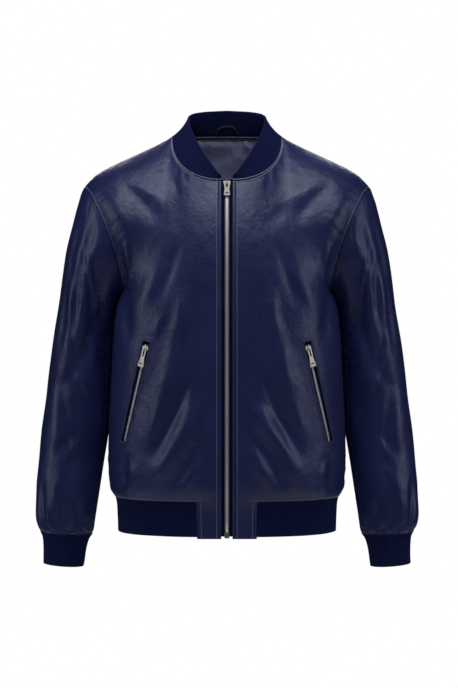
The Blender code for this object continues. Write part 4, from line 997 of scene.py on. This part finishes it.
def build_front(hand):
    """A front with its leather hem block: the grids of both, in the left front's place."""
    u, v = panel_grid(-1, FRONT_ACROSS, FRONT_UP)
    edge = BLOCK_U * (1 - np.array(BLOCK_LINES))
    u = np.sort(np.concatenate([u[np.min(np.abs(u[:, None] - edge), 1) > 0.004], edge]))
    across = int(np.argmin(np.abs(u - BLOCK_U))) + 1
    gu, gv = grid(u, v)
    points = torso(gu, gv, -1, hand)
    front = Cloth(points, points * (1, 1, 0) + (0, -0.05, 0.05))
    sewn_zip_edge(front)
    neck = 1 - step(NECK_SHARE - 0.01, NECK_SHARE + 0.03, gu)
    arm = step(0.98, 1.02, gv)
    side = 1 - step(0.99, 1.01, gv)
    out_of_block = step(BLOCK_U + 0.02, BLOCK_U + 0.06, gu)
    front.push(
        neck * neck_bead(front.top)
        + neck * puckered(front.top, TOPSTITCH, front.start, 0.0005)
        + neck * seam_swell(front.top, front.start, 21, 0.0008, 0.009)
        + (1 - neck) * seam_swell(front.top, front.start, 22, 0.0009, 0.010)
        + arm * puckered(front.end, ARMHOLE_STITCH, front.bottom, 0.0006)
        + arm * seam_swell(front.end, front.bottom, 23 + hand, 0.0010, 0.012)
        + side * seam_swell(front.end, front.bottom, 25 + hand, 0.0009, 0.010)
        + out_of_block * puckered(front.bottom, HEM_STITCH, front.start, 0.0004)
        + out_of_block * seam_swell(front.bottom, front.start, 27 + hand, 0.0012, 0.012)
    )
    foot = np.array(NEAR_EDGE[:9])
    z = np.concatenate([BLOCK_BOTTOM + foot, np.linspace(BLOCK_BOTTOM + 0.008, HEM_TOP, 18)])
    bu, bz = grid(u[:across], z)
    block = Cloth(band(bu, bz, -1), band(bu, bz, -1) * (1, 1, 0))
    sewn_zip_edge(block)
    block.push(
        puckered(block.end, BLOCK_STITCH, block.bottom, 0.0006)
        + puckered(block.bottom, BLOCK_FOOT_STITCH, block.start, 0.0005)
        + seam_swell(block.end, block.bottom, 31, 0.0006, 0.009)
        + 0.0006 * ripples(block.points * (hand, 1, 1), 0.03, 33) * step(0, 0.02, block.top)
    )
    block.points[:, -1], block.out[:, -1] = front.points[:across, 0], front.out[:across, 0]
    return front, block, across, gu


def pocket_keep(front):
    """Which cells of a front's grid are left when the pocket mouth is cut out."""
    p = front.points
    middle = (p[:-1, :-1] + p[1:, :-1] + p[:-1, 1:] + p[1:, 1:]) / 4
    length = math.dist(POCKET_TOP, POCKET_BOTTOM)
    along, aside = pocket_place(middle[..., 0], middle[..., 2])
    return ~((np.abs(aside) < MOUTH_HALF) & (np.abs(along - length / 2) < length / 2 + MOUTH_PAST))


def make_front(name, hand):
    front, block, across, gu = build_front(hand)
    free_bottom = np.where(gu > BLOCK_U + 1e-9, front.bottom, 1.0)
    near = np.minimum(np.minimum(front.start, front.end), np.minimum(free_bottom, front.top))
    low = np.minimum(np.minimum(block.start, block.end), block.bottom)
    low[:, -1] = near[:across, 0]
    walls = [
        wall(front, LEATHER, near, keep=pocket_keep(front), joined_bottom=across - 1),
        wall(block, LEATHER, low, joined_top=across - 1),
    ]
    piece = piece_of("leather_front_" + name, walls, HIDE, hand, weld=True)
    finish_piece(piece, "leather", "front_" + name, "hem_block_" + name)
    return front, block


def make_back():
    u, v = panel_grid(1, BACK_PITCH, BACK_PITCH, start=(0,))
    gu, gv = grid(u, v)
    left, right = torso(gu, gv, 1, 1), torso(gu, gv, 1, -1)
    points = np.concatenate([right[:0:-1] * (-1, 1, 1), left])
    gu, gv = (np.concatenate([g[:0:-1], g]) for g in (gu, gv))
    back = Cloth(points, points * (1, 1, 0) + (0, 0.05, 0.05))
    neck = 1 - step(NECK_SHARE - 0.01, NECK_SHARE + 0.03, gu)
    sides = np.minimum(back.start, back.end)
    back.push(
        neck * neck_bead(back.top)
        + neck * puckered(back.top, TOPSTITCH, back.start, 0.0005)
        + (1 - neck) * puckered(back.top, ARMHOLE_STITCH, back.start, 0.0006)
        + seam_swell(back.top, back.start, 41, 0.0008, 0.010)
        + step(0.98, 1.02, gv) * puckered(sides, ARMHOLE_STITCH, back.bottom, 0.0006)
        + seam_swell(sides, back.bottom, 42, 0.0010, 0.012)
        + puckered(back.bottom, HEM_STITCH, back.start, 0.0004)
        + seam_swell(back.bottom, back.start, 43, 0.0014, 0.012)
    )
    near = np.minimum(sides, np.minimum(back.bottom, back.top))
    piece = piece_of("leather_back", [wall(back, LEATHER, near)], HIDE)
    finish_piece(piece, "leather", "back")
    return back


SLEEVE_SEAM = math.radians(152)
SEAM_LINES = (-0.09, -0.06, -0.04, -0.02, 0, 0.02, 0.04, 0.06, 0.09)  # turns beside the sleeve's seam


def make_sleeve(name, hand):
    turn = np.linspace(-math.pi, math.pi, 128, endpoint=False)
    close = SLEEVE_SEAM + np.array(SEAM_LINES)
    turn = np.sort(np.concatenate([turn[np.abs(turn - SLEEVE_SEAM) > 0.115], close]))
    t = np.linspace(0, len(SLEEVE) - 1, 8001)
    row = spread(tube(SLEEVE, 0 * t + math.pi / 2, t), t, SLEEVE_PITCH)
    gt, gr = grid(turn, row)
    points = sleeve(gt, gr, hand)
    arm = Cloth(points, points - tube_middle(SLEEVE, gt, gr), closed=True)
    away = np.abs(gt - SLEEVE_SEAM) * 0.05
    arm.push(
        0.0010 * bell(away, 0.0012)
        + seam_swell(away, arm.bottom, 51 + hand, 0.0008, 0.008)
        + seam_swell(arm.bottom, arm.start, 53 + hand, 0.0011, 0.010)
        + seam_swell(arm.top, arm.start, 55 + hand, 0.0014, 0.008)
        + 0.0007 * bell(arm.top, 0.0010, 0.0030)
    )
    near = np.minimum(arm.bottom, arm.top)
    piece = piece_of("leather_sleeve_" + name, [wall(arm, LEATHER, near)], HIDE, hand)
    finish_piece(piece, "leather", "sleeve_" + name)


# ---------------------------------------------------------------- rib knit
RIB_PITCH, RIB_HEIGHT, KNIT_ROW = 0.0029, 0.0008, 0.0017
EDGE_ROWS = (0, 0.0003, 0.0008, 0.0014, 0.0024)
RIB_EDGE = 0.0013  # how far in from its ends a knitted wall is rounded


def rib_lift(phase):
    return RIB_HEIGHT * (np.sqrt(np.abs(np.sin(math.pi * phase))) - 0.35)


def knit_piece(name, node, cloth, phase, hand=1):
    """A knitted wall with ribs on both sides. phase counts the ribs."""
    drop = np.minimum(cloth.bottom, cloth.top)
    inset = KNIT * 0.5 * (1 - np.sqrt(1 - np.clip(1 - drop / RIB_EDGE, 0, 1) ** 2))
    outer = cloth.points + cloth.out * (rib_lift(phase) - inset)[..., None]
    inner = cloth.points - cloth.out * (KNIT + rib_lift(phase + 0.5) - inset)[..., None]
    faces = np.concatenate(wall_faces(all_cells(cloth), cloth.closed))
    uv = np.stack([phase, cloth.bottom / KNIT_ROW], -1).reshape(-1, 2)
    both = np.concatenate([uv, uv + (0.5, 0)])
    vertices = np.concatenate([outer.reshape(-1, 3), inner.reshape(-1, 3)]) * (hand, 1, 1)
    finish_piece(make_mesh(name, vertices, faces, [KNIT_LOOK], both, sharp=75), "rib_knit", node)


def rib_columns(points, values, per_rib, closed=False):
    """Evenly spaced values along a curve, a whole number of ribs long, and each one's phase."""
    at = run(points)
    ribs = int(round(at[-1] / RIB_PITCH))
    count = ribs * per_rib + (0 if closed else 1)
    share = np.arange(count) / (ribs * per_rib)
    return np.interp(share * at[-1], at, values), share * ribs


def whole_collar(a, h):
    """The collar from the right end, a = -1, round the back, a = 0, to the left end, a = 1."""
    return collar(1 - np.abs(a), h) * np.where(a < 0, -1, 1)[..., None] ** np.array((1, 0, 0))


def make_collar():
    t = np.linspace(-1, 1, 4001)
    values, phase = rib_columns(whole_collar(t, 0 * t + 0.6), t, 6)
    height = np.linspace(0, 1, 2001)
    height = spread(collar(0 * height + 0.5, height), height, 0.0042, EDGE_ROWS, EDGE_ROWS)
    a, h = grid(values, height)
    points = whole_collar(a, h)
    cloth = Cloth(points, points * (1, 1, 0))
    cloth.push(0.0006 * ripples(points, 0.05, 61) * np.minimum(1, 4 * h * (1 - h)))
    knit_piece("rib_collar", "collar", cloth, phase[:, None] + 0 * h)


def make_cuff(name, hand):
    t = np.linspace(-math.pi, math.pi, 4001)
    turn, phase = rib_columns(tube(CUFF, t, 0 * t + 1.5), t, 5, closed=True)
    row = np.linspace(0, len(CUFF) - 1, 2001)
    row = spread(tube(CUFF, 0 * row + math.pi / 2, row), row, 0.0034, EDGE_ROWS, EDGE_ROWS)[::-1]
    gt, gr = grid(turn, row)
    points = tube(CUFF, gt, gr)
    cloth = Cloth(points, points - tube_middle(CUFF, gt, gr), closed=True)
    draw = np.random.default_rng(71 + hand)
    wave = sum(np.sin(k * gt + draw.uniform(0, 6)) for k in (3, 4, 5, 7)) / 4
    cloth.push(0.0012 * wave * step(0, 0.012, cloth.bottom))
    knit_piece("rib_cuff_" + name, "cuff_" + name, cloth, phase[:, None] + 0 * gr, hand)


def round_hem(s, z):
    """The hem band at s: from the left block, s = BLOCK_U, round the back, 2, to the right one."""
    mirror = s > 2
    s = np.where(mirror, 4 - s, s)
    front, back = band(np.minimum(s, 1), z, -1), band(np.clip(2 - s, 0, 1), z, 1)
    points = np.where((s <= 1)[..., None], front, back)
    return points * np.where(mirror, -1, 1)[..., None] ** np.array((1, 0, 0))


def make_band():
    half = np.concatenate([np.linspace(BLOCK_U, 1, 1001), 2 - np.linspace(1, 0, 1001)[1:]])
    values = np.concatenate([half, 4 - half[-2::-1]])
    values, phase = rib_columns(round_hem(values, 0 * values - 0.64), values, 5)
    z = np.linspace(HEM_BOTTOM, HEM_TOP, 2001)
    z = spread(round_hem(0 * z + 1.5, z), z, 0.0060, EDGE_ROWS, EDGE_ROWS)
    s, z = grid(values, z)
    points = round_hem(s, z)
    cloth = Cloth(points, points * (1, 1, 0))
    wave = sum(np.sin(k * s * 2.2 + k * k) for k in (3, 5, 8, 11)) / 4
    ends = np.minimum(cloth.start, cloth.end)
    cloth.push(0.0009 * wave * step(0, 0.02, cloth.top) * step(0, 0.02, ends))
    knit_piece("rib_hem", "hem_band", cloth, phase[:, None] + 0 * z)


# ---------------------------------------------------------------- inside
# The tape over the seam of collar and lining: distance from the seam, how far it stands out.
NECK_TAPE = (
    (0.0000, 0.0002),
    (0.0003, 0.0004),
    (0.0008, 0.0005),
    (0.0014, 0.0004),
    (0.0020, 0.0002),
    (0.0028, 0.0001),
    (0.0038, 0.0001),
    (0.0046, 0.0004),
    (0.0051, 0.0010),
    (0.0057, 0.0014),
    (0.0063, 0.0010),
    (0.0066, 0.0004),
)
NECK_TAPE_THICK = 0.0006
LINING_HALF, LINING_LOW, LINING_REACH = 0.93, 1.34, 0.656  # in u, in v, and how far up from there
PLEATS, PLEAT_WIDTHS, PLEAT_REACH = 70, (0.0022, 0.005), 0.030
LINING_STITCHES = (0.0012, 0.0082)  # from the lining's upper edge
LOOP_SPAN, LOOP_RISE, LOOP_FOOT = 0.0185, 0.0132, 0.0015
LOOP_HALF_WIDE, LOOP_HALF_THICK, LOOP_CLEAR = 0.0015, 0.0008, 0.0026
# The loop's section, as shares of its half width and half thickness.
LOOP_SECTION = ((1, -0.35), (0.8, -0.9), (0.25, -0.6), (-0.25, -0.6), (-0.8, -0.9))
LOOP_SECTION += ((-1, -0.35), (-1, 0.35), (-0.8, 0.9), (0.8, 0.9), (1, 0.35))


def make_lining():
    """The satin back lining. It is gathered a little into the seam at the neck."""
    u = np.linspace(-LINING_HALF, LINING_HALF, 201)
    v = LINING_LOW + LINING_REACH * np.sin(np.linspace(0, math.pi / 2, 56)) ** 0.9
    gu, gv = grid(u, v)
    halves = [torso(np.abs(gu), gv, 1, hand) * (hand, 1, 1) for hand in (-1, 1)]
    points = np.where((gu < 0)[..., None], *halves)
    satin = Cloth(points, points * (1, 1, 0) + (0, 0.05, 0.05))
    satin.push(0 * gu + LEATHER + 3 * SEAM)
    satin.points[:, :, 2] -= 0.001 * (gv > 1.9)
    draw = np.random.default_rng(81)
    pleats = sum(
        draw.uniform(0.5, 1) * bell(satin.start + lean * satin.top, draw.uniform(*PLEAT_WIDTHS), at)
        for at, lean in zip(draw.uniform(0.02, 0.5, PLEATS), draw.uniform(-0.5, 0.5, PLEATS))
    )
    satin.push(
        0.0034 * pleats * np.exp(-satin.top / PLEAT_REACH) * step(0.004, 0.012, satin.top)
        + 0.0060 * (0.6 + ripples(points, 0.045, 83)) * step(0.004, 0.02, satin.top)
    )
    finish_piece(piece_of("lining_satin", [wall(satin, LINING)], [SATIN_LOOK]), "lining", "lining_back")
    rows = [satin.line("top", gap, slice(30, -30)) for gap, _ in NECK_TAPE]
    lifts = [LINING + lift for _, lift in NECK_TAPE]
    points = np.stack([where - out * lift for (where, out), lift in zip(rows, lifts)], 1)
    tape = Cloth(points, points * (-1, -1, 0))
    finish_piece(piece_of("neck_tape", [wall(tape, NECK_TAPE_THICK)], [WELT_LOOK]), "lining")
    return satin


def make_loop():
    """The hanging loop: a flat folded strip, sewn down at both ends."""
    angle = np.linspace(-0.12, math.pi + 0.12, 41)
    x, z = LOOP_SPAN * np.cos(angle), LOOP_FOOT + LOOP_RISE * np.sin(angle)
    at = collar(1 - np.abs(x) / 0.30, z / 0.0415)
    spine = np.stack([x, at[:, 1] - KNIT - LOOP_CLEAR, at[:, 2]], -1)
    away = unit(np.stack([LOOP_RISE * np.cos(angle), 0 * angle, LOOP_SPAN * np.sin(angle)], -1))
    back = np.array((0, LOOP_HALF_THICK, 0))
    rings = np.stack([spine + away * LOOP_HALF_WIDE * a + back * b for a, b in LOOP_SECTION], 1)
    finish_piece(swept("hanging_loop", rings, LOOP_LOOK), "lining", "hang_loop")


# ---------------------------------------------------------------- zips
FRONT_TAPE = (0.0014, 0.016)  # a tape's inner and outer edge, from the middle of the zip
POCKET_TAPE = (0.0012, 0.0125)
# Half width, thickness and pitch of the teeth.
FRONT_TOOTH, POCKET_TOOTH = (0.0036, CHAIN_THICK, TOOTH_PITCH), (0.0026, 0.0024, 0.0026)
CHAIN_START, CHAIN_PAST = 0.0077, 0.0005  # from the ends of a pocket zip
POCKET_TAPE_PAST = 0.0078
POCKET_MARGIN, POCKET_REACH = 0.075, 0.018  # how far a pocket is laid out past its ends and sides
SEWN_LIFT = 0.0004
MOUTH_RUN, MOUTH_CORNER = 0.0040, 0.0022
# One tooth's outline, as shares of its half width and of the pitch, from the tape to its tip.
TOOTH_SIDE = ((1.0, -0.20), (0.42, -0.21), (0.10, -0.25), (-0.28, -0.20))
TOOTH = np.array(TOOTH_SIDE + tuple((x, -y) for x, y in TOOTH_SIDE[::-1]))
TOOTH_CAPS = ((0, 1, 6, 7), (1, 2, 5, 6), (2, 3, 4, 5))
TOOTH_MIDDLE = 0.36
# Each tooth is domed: height as a share of the thickness, and how far its outline draws in.
TOOTH_LAYERS = ((-0.5, 0.45, 0.80), (-0.32, 0.86, 0.95), (0.0, 1.0, 1.0))
TOOTH_LAYERS += ((0.32, 0.86, 0.95), (0.5, 0.45, 0.80))
# The turned edge round a pocket mouth: out from the mouth's edge, and up from the leather.
LIP = (
    (0.0008, -0.0016),
    (0.0001, -0.0013),
    (-0.0003, -0.0006),
    (-0.0002, 0.0002),
    (0.0004, 0.0008),
    (0.0014, 0.0011),
    (0.0024, 0.0008),
    (0.0030, 0.0003),
    (0.0034, 0.0003),
    (0.0041, 0.0005),
    (0.0052, 0.0004),
    (0.0064, 0.0001),
    (0.0074, -0.0006),
    (0.0060, -0.0012),
)


# Stops of a pocket zip: 1 for its foot, from where to where along it, and across it.
STOPS = (
    ("zip_stop_", 1, 0, 0.0034, -0.0029, 0.0029),
    ("zip_top_stop_front_", 0, 0.0012, 0.0044, -0.0034, -0.0009),
    ("zip_top_stop_side_", 0, 0.0012, 0.0044, 0.0009, 0.0034),
)
STOP_HALF = 0.0014


def make_teeth(name, node, centres, across, out, half, thick, pitch, hand=1):
    """Teeth of two rows that mesh in the middle. They stand on the line, front and back of it."""
    steps = run(centres)
    count = int(steps[-1] / (pitch / 2))
    at = (np.arange(count) + 0.5) * pitch / 2
    where = read_line(centres, steps, at)
    ahead = unit(read_line(centres, steps, at + 1e-4) - read_line(centres, steps, at - 1e-4))
    face = unit(read_line(out, steps, at))
    aside = unit(np.cross(ahead, face))
    aside = aside * np.sign(np.sum(aside * across, -1))[:, None]
    odd = np.arange(count) % 2 == 1
    side = np.where(odd, 1, -1)[:, None, None]
    rings = [
        where[:, None]
        + aside[:, None] * side * half * ((TOOTH[:, :1] - TOOTH_MIDDLE) * width + TOOTH_MIDDLE)
        + ahead[:, None] * pitch * TOOTH[:, 1:] * length
        + face[:, None] * thick * level
        for level, length, width in TOOTH_LAYERS
    ]
    pattern = rod_faces(len(TOOTH_LAYERS), len(TOOTH), caps=TOOTH_CAPS)
    size = len(TOOTH_LAYERS) * len(TOOTH)
    faces = pattern[None] + size * np.arange(count)[:, None, None]
    faces = np.where(odd[:, None, None], faces, faces[..., ::-1]).reshape(-1, 4)
    vertices = np.stack(rings, 1).reshape(-1, 3) * (hand, 1, 1)
    # The teeth take the paler copy of the nickel, which paints light on them.
    finish_piece(make_mesh(name, vertices, faces, [LIT_TEETH_LOOK], sharp=50), "nickel", node)


def make_front_zip(front, block):
    line = np.concatenate([front.points[0, ::-1], block.points[0, -2::-1]]) * (0, 1, 1)
    length = run(line)[-1]
    line = read_line(line, run(line), np.linspace(0, length, max(2, int(length / 0.004))))
    x_way = np.array((1.0, 0.0, 0.0))
    out = unit(np.cross(unit(np.gradient(line, axis=0)), x_way))
    out = out * np.where(np.sum(out * (0, -1, 0), -1) < 0, -1, 1)[:, None]
    centres = line - out * TAPE_MIDDLE
    for name, hand in (("left", 1), ("right", -1)):
        points = np.stack([centres[:-1] + x_way * d for d in np.linspace(*FRONT_TAPE, 5)])
        tape = Cloth(points, np.broadcast_to(out[:-1], points.shape))
        tape.points = tape.points + tape.out * TAPE / 2
        piece = piece_of("tape_front_" + name, [wall(tape, TAPE)], [TAPE_LOOK], hand)
        finish_piece(piece, "zip_tape", "zip_front_tape_" + name)
    steps = run(centres)
    low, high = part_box("zip_front_chain")
    at = np.linspace(*np.interp((-high[2], -low[2]), -centres[:, 2], steps), 200)
    path, facing = read_line(centres, steps, at), unit(read_line(out, steps, at))
    make_teeth("teeth_front", "zip_front_chain", path, x_way, facing, *FRONT_TOOTH)


def smooth(values):
    for _ in range(3):
        middle = (values[:-2] + 2 * values[1:-1] + values[2:]) / 4
        values = np.concatenate([values[:1], middle, values[-1:]])
    return values


class Pocket:
    """The surface of a front beside its pocket, laid out flat: along the zip and to its side."""

    def __init__(self, front):
        faces = grid_faces(*front.points.shape[:2])
        self.tree = BVHTree.FromPolygons(front.points.reshape(-1, 3).tolist(), faces.tolist())
        top, foot = np.array(POCKET_TOP), np.array(POCKET_BOTTOM)
        shares = np.linspace(-POCKET_MARGIN, 1 + POCKET_MARGIN, 70)
        spine = smooth(np.array([self.hit(*(top + (foot - top) * s))[0] for s in shares]))
        steps = run(spine)
        self.along = steps - np.interp(0, shares, steps)
        self.length = np.interp(1, shares, self.along)
        lean = unit(smooth(np.array([self.hit(p[0], p[2])[1] for p in spine])))
        across = unit(np.cross(unit(np.gradient(spine, axis=0)), lean))
        across = across * np.where(across[:, :1] < 0, -1, 1)
        self.offsets = np.linspace(-POCKET_REACH, POCKET_REACH, 19)
        lines = (p + a * self.offsets[:, None] for p, a in zip(spine, across))
        self.grid = smooth(np.array([[self.hit(x, z)[0] for x, _, z in line] for line in lines]))
        n = unit(np.cross(np.gradient(self.grid, axis=0), np.gradient(self.grid, axis=1)))
        self.out = n * np.where(n[..., 1:2] > 0, -1, 1)

    def hit(self, x, z):
        """The front's point at x, z of the front view, and its normal."""
        point, normal = (np.array(v) for v in self.tree.ray_cast((x, -1.0, z), (0.0, 1.0, 0.0))[:2])
        return point, -normal if normal[1] > 0 else normal

    def lay(self, a, b, lift=0.0):
        """The place a metres down the zip and b to its side, raised off the leather by lift."""
        a, b = np.broadcast_arrays(np.asarray(a, float), np.asarray(b, float))
        i = np.clip(np.searchsorted(self.along, a) - 1, 0, len(self.along) - 2)
        j = np.clip(np.searchsorted(self.offsets, b) - 1, 0, len(self.offsets) - 2)
        p = ((a - self.along[i]) / (self.along[i + 1] - self.along[i]))[..., None]
        q = ((b - self.offsets[j]) / (self.offsets[j + 1] - self.offsets[j]))[..., None]
        found = []
        for g in (self.grid, self.out):
            low, high = (g[i, k] * (1 - p) + g[i + 1, k] * p for k in (j, j + 1))
            found.append(low * (1 - q) + high * q)
        out = unit(found[1])
        return found[0] + out * np.asarray(lift)[..., None], out

    def mouth(self):
        """The outline of the mouth in the flat layout, with rounded corners, and its outward side."""
        points, away = [], []
        for end, side, begin in ((1, 1, 0), (0, 1, 90), (0, -1, 180), (1, -1, 270)):
            a = self.length + MOUTH_RUN - MOUTH_CORNER if end else MOUTH_CORNER - MOUTH_RUN
            centre = np.array((a, side * (POCKET_GAP - MOUTH_CORNER)))
            for angle in np.radians(begin + np.linspace(0, 90, 7)):
                away.append((math.cos(angle), math.sin(angle)))
                points.append(centre + MOUTH_CORNER * np.array(away[-1]))
        points, away = (np.array(values + values[:1]) for values in (points, away))
        steps = run(points)
        at = np.unique(np.concatenate([np.linspace(0, steps[-1], 190)[:-1], steps[:-1]]))
        return read_line(points, steps, at), unit(read_line(away, steps, at))


def grid_faces(columns, rows):
    i, j = grid(np.arange(columns - 1), np.arange(rows - 1))
    corner = i * rows + j
    return np.stack([corner, corner + rows, corner + rows + 1, corner + 1], -1).reshape(-1, 4)


def make_pocket(front, name, hand):
    """All that is round a pocket's mouth. Returns the line of its sewing."""
    pocket = Pocket(front)
    path, sides = pocket.mouth()
    swell = 1 + 0.35 * waves(path[:, 0], 91 + hand, 3, 0.012, 0.05) / 3
    rings = []
    for out_by, up_by in LIP:
        where = path + sides * out_by
        rings.append(pocket.lay(*where.T, up_by * (swell if up_by > 0.0004 else 1) + 0 * swell)[0])
    lip = swept("pocket_lip_" + name, np.stack(rings, 1), LEATHER_LOOK, hand, closed=True)
    finish_piece(lip, "leather")

    prefix = "zip_pocket_" + name
    a = np.linspace(-POCKET_TAPE_PAST, pocket.length + POCKET_TAPE_PAST, 60)
    for part, side in (("_tape_front", -1), ("_tape_side", 1)):
        laid = [pocket.lay(a, 0 * a + b) for b in side * np.linspace(*POCKET_TAPE, 5)]
        points, out = (np.stack(values) for values in zip(*laid))
        tape = Cloth(points - out * TAPE_TOP, out)
        made = piece_of("tape_" + name + part, [wall(tape, TAPE)], [TAPE_LOOK], hand)
        finish_piece(made, "zip_tape", prefix + part)

    at = np.linspace(CHAIN_START, pocket.length + CHAIN_PAST, 90)
    points, out = pocket.lay(at, 0 * at)
    across = unit(pocket.lay(at, 0 * at + 0.001)[0] - points)[0]
    line = points - out * TAPE_MIDDLE
    make_teeth("teeth_" + name, prefix + "_chain", line, across, out, *POCKET_TOOTH, hand)

    for title, end, a0, a1, b0, b1 in STOPS:
        corners = np.array([(a0, b0), (a0, b1), (a1, b1), (a1, b0)]) + (end * pocket.length, 0)
        lifts = (-STOP_HALF - TAPE_MIDDLE, STOP_HALF - TAPE_MIDDLE)
        layers = [pocket.lay(*corners.T, np.full(4, lift))[0] for lift in lifts]
        stop = swept(title + name, np.stack(layers), METAL_LOOK, hand)
        soften(stop, 0.0005)
        finish_piece(stop, "nickel")

    where = path + sides * POCKET_STITCH
    sewn = pocket.lay(*where.T, np.full(len(where), SEWN_LIFT))
    return [np.concatenate([line, line[:1]]) * (hand, 1, 1) for line in sewn]


def soften(piece, width):
    """Rounds hard edges, as metal parts have them."""
    piece.modifiers.new("join", "WELD").merge_threshold = 1e-5
    bevel = piece.modifiers.new("edges", "BEVEL")
    bevel.width, bevel.segments, bevel.limit_method = width, 2, "ANGLE"
    bevel.angle_limit = math.radians(35)
    bevel.harden_normals = False


# ---------------------------------------------------------------- everything
def handed(line, hand):
    return line[0] * (hand, 1, 1), line[1] * (hand, 1, 1)


def main():
    sewn, pocket_sewn, neck_sewn = [], [], []
    for name, hand in (("left", 1), ("right", -1)):
        front, block = make_front(name, hand)
        high, low = front.line("start", ZIP_STITCH), block.line("start", ZIP_STITCH)
        sewn.append(handed([np.concatenate([b[:-1], f]) for b, f in zip(low, high)], hand))
        sewn.append(handed(block.line("end", BLOCK_STITCH), hand))
        neck = int(np.searchsorted(front.points[:, -1, 0], NECK_SIDE))
        for distance in NECK_LINES:
            neck_sewn.append(handed(front.line("top", distance, slice(2, neck)), hand))
        arm = int(np.searchsorted(front.points[-1, :, 2], ARMPIT))
        sewn.append(handed(front.line("end", ARMHOLE_STITCH, slice(arm, -2)), hand))
        first = int(np.searchsorted(front.points[:, 0, 0], 0.036))
        sewn.append(handed(front.line("bottom", HEM_STITCH, slice(first, -1)), hand))
        pocket_sewn.append(make_pocket(front, name, hand))
        make_sleeve(name, hand)
        make_cuff(name, hand)
        if hand == 1:
            make_front_zip(front, block)
    back = make_back()
    low, high = (int(np.searchsorted(back.points[:, -1, 0], at)) for at in (-NECK_SIDE, NECK_SIDE))
    neck_sewn += [back.line("top", distance, slice(low, high)) for distance in NECK_LINES]
    arm = int(np.searchsorted(back.points[-1, :, 2], ARMPIT))
    sewn += [
        back.line("top", ARMHOLE_STITCH, slice(2, low)),
        back.line("top", ARMHOLE_STITCH, slice(high, -2)),
        back.line("bottom", HEM_STITCH, slice(1, -1)),
        back.line("start", ARMHOLE_STITCH, slice(arm, -2)),
        back.line("end", ARMHOLE_STITCH, slice(arm, -2)),
    ]
    make_collar()
    make_band()
    satin = make_lining()
    for distance in LINING_STITCHES:
        points, out = satin.line("top", distance, slice(35, -35))
        sewn.append((points - out * LINING, -out))
    make_loop()
    stitches("sewing", sewn, THREAD_LOOK)
    stitches("sewing_pockets", pocket_sewn, DARK_THREAD_LOOK)
    for number, (points, out) in enumerate(neck_sewn):
        cord(f"neck_cord_{number}", points, out)

    hard = [("zip_bottom_box", METAL_LOOK, 0.0006)]
    # The front slider and its pull take the darker copy of the nickel, which paints shade on them.
    for name, look in (("front", SHADED_NICKEL_LOOK), ("pocket_left", METAL_LOOK), ("pocket_right", METAL_LOOK)):
        hard += [("zip_slider_" + name, look, 0.0005), ("zip_pull_" + name, look, 0.0003)]
    for name, look, width in hard:
        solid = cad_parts[name]
        solid.data.materials[0] = look
        soften(solid, width)


def place(name, data, where, aim=None):
    made = bpy.data.objects.new(name, data)
    made.location = where
    if aim is not None:
        made.rotation_euler = (Vector(aim) - Vector(where)).to_track_quat("-Z", "Y").to_euler()
    bpy.context.scene.collection.objects.link(made)
    return made


MIDDLE = (0, 0, -0.35)
# Softboxes: name, where, width and height, power.
SOFTBOXES = (
    ("overhead", (0, -1.15, 2.15), (2.2, 1.5), 46),
    ("left_side", (-3.0, -0.9, 0.5), (1.0, 2.0), 17),
    ("right_side", (3.0, -0.9, 0.5), (1.0, 2.0), 17),
    ("fill", (0, -3.6, 0.1), (2.4, 1.4), 1.6),
    ("behind", (0, 2.6, 1.5), (2.2, 1.6), 34),
)


def studio():
    scene = bpy.context.scene
    scene.view_settings.view_transform = "Standard"
    world = bpy.data.worlds.new("studio")
    scene.world = world
    world.use_nodes = True
    nodes, links = world.node_tree.nodes, world.node_tree.links
    nodes.clear()
    kinds = "LightPath", "MixShader", "OutputWorld"
    path, mix, end = (nodes.new("ShaderNode" + kind) for kind in kinds)
    links.new(path.outputs["Is Camera Ray"], mix.inputs[0])
    for socket, colour, strength in ((1, (0.80, 0.86, 1.0, 1), 0.012), (2, (1, 1, 1, 1), 1.0)):
        shade = nodes.new("ShaderNodeBackground")
        shade.inputs["Color"].default_value, shade.inputs["Strength"].default_value = colour, strength
        links.new(shade.outputs[0], mix.inputs[socket])
    links.new(mix.outputs[0], end.inputs[0])

    for name, where, size, power in SOFTBOXES:
        light = bpy.data.lights.new(name, "AREA")
        light.shape, light.size, light.size_y, light.energy = "RECTANGLE", *size, power
        place(name, light, where, MIDDLE).visible_camera = False
    spot = bpy.data.lights.new("neck", "SPOT")
    spot.energy, spot.shadow_soft_size = 24, 0.10
    spot.spot_size, spot.spot_blend = math.radians(5.0), 0.8
    place("neck", spot, (-0.8, -2.6, 1.0), (0, 0.05, -0.03))

    mesh = bpy.data.meshes.new("floor")
    shape = bmesh.new()
    bmesh.ops.create_circle(shape, cap_ends=True, segments=96, radius=2.2)
    shape.to_mesh(mesh)
    shape.free()
    look = bpy.data.materials.new("floor")
    look.use_nodes = True
    shader = look.node_tree.nodes["Principled BSDF"]
    shader.inputs["Base Color"].default_value = (0.86, 0.86, 0.87, 1)
    shader.inputs["Roughness"].default_value = 0.7
    mesh.materials.append(look)
    floor = place("floor", mesh, (0, 0, -1.45))

    data = bpy.data.cameras.new("camera")
    data.sensor_width, data.lens = 36, 36 * 1882 / 688
    scene.camera = place("camera", data, (0.0034, -3.2, -0.352))
    scene.camera.rotation_euler = (math.radians(90), 0, 0)


main()
studio()
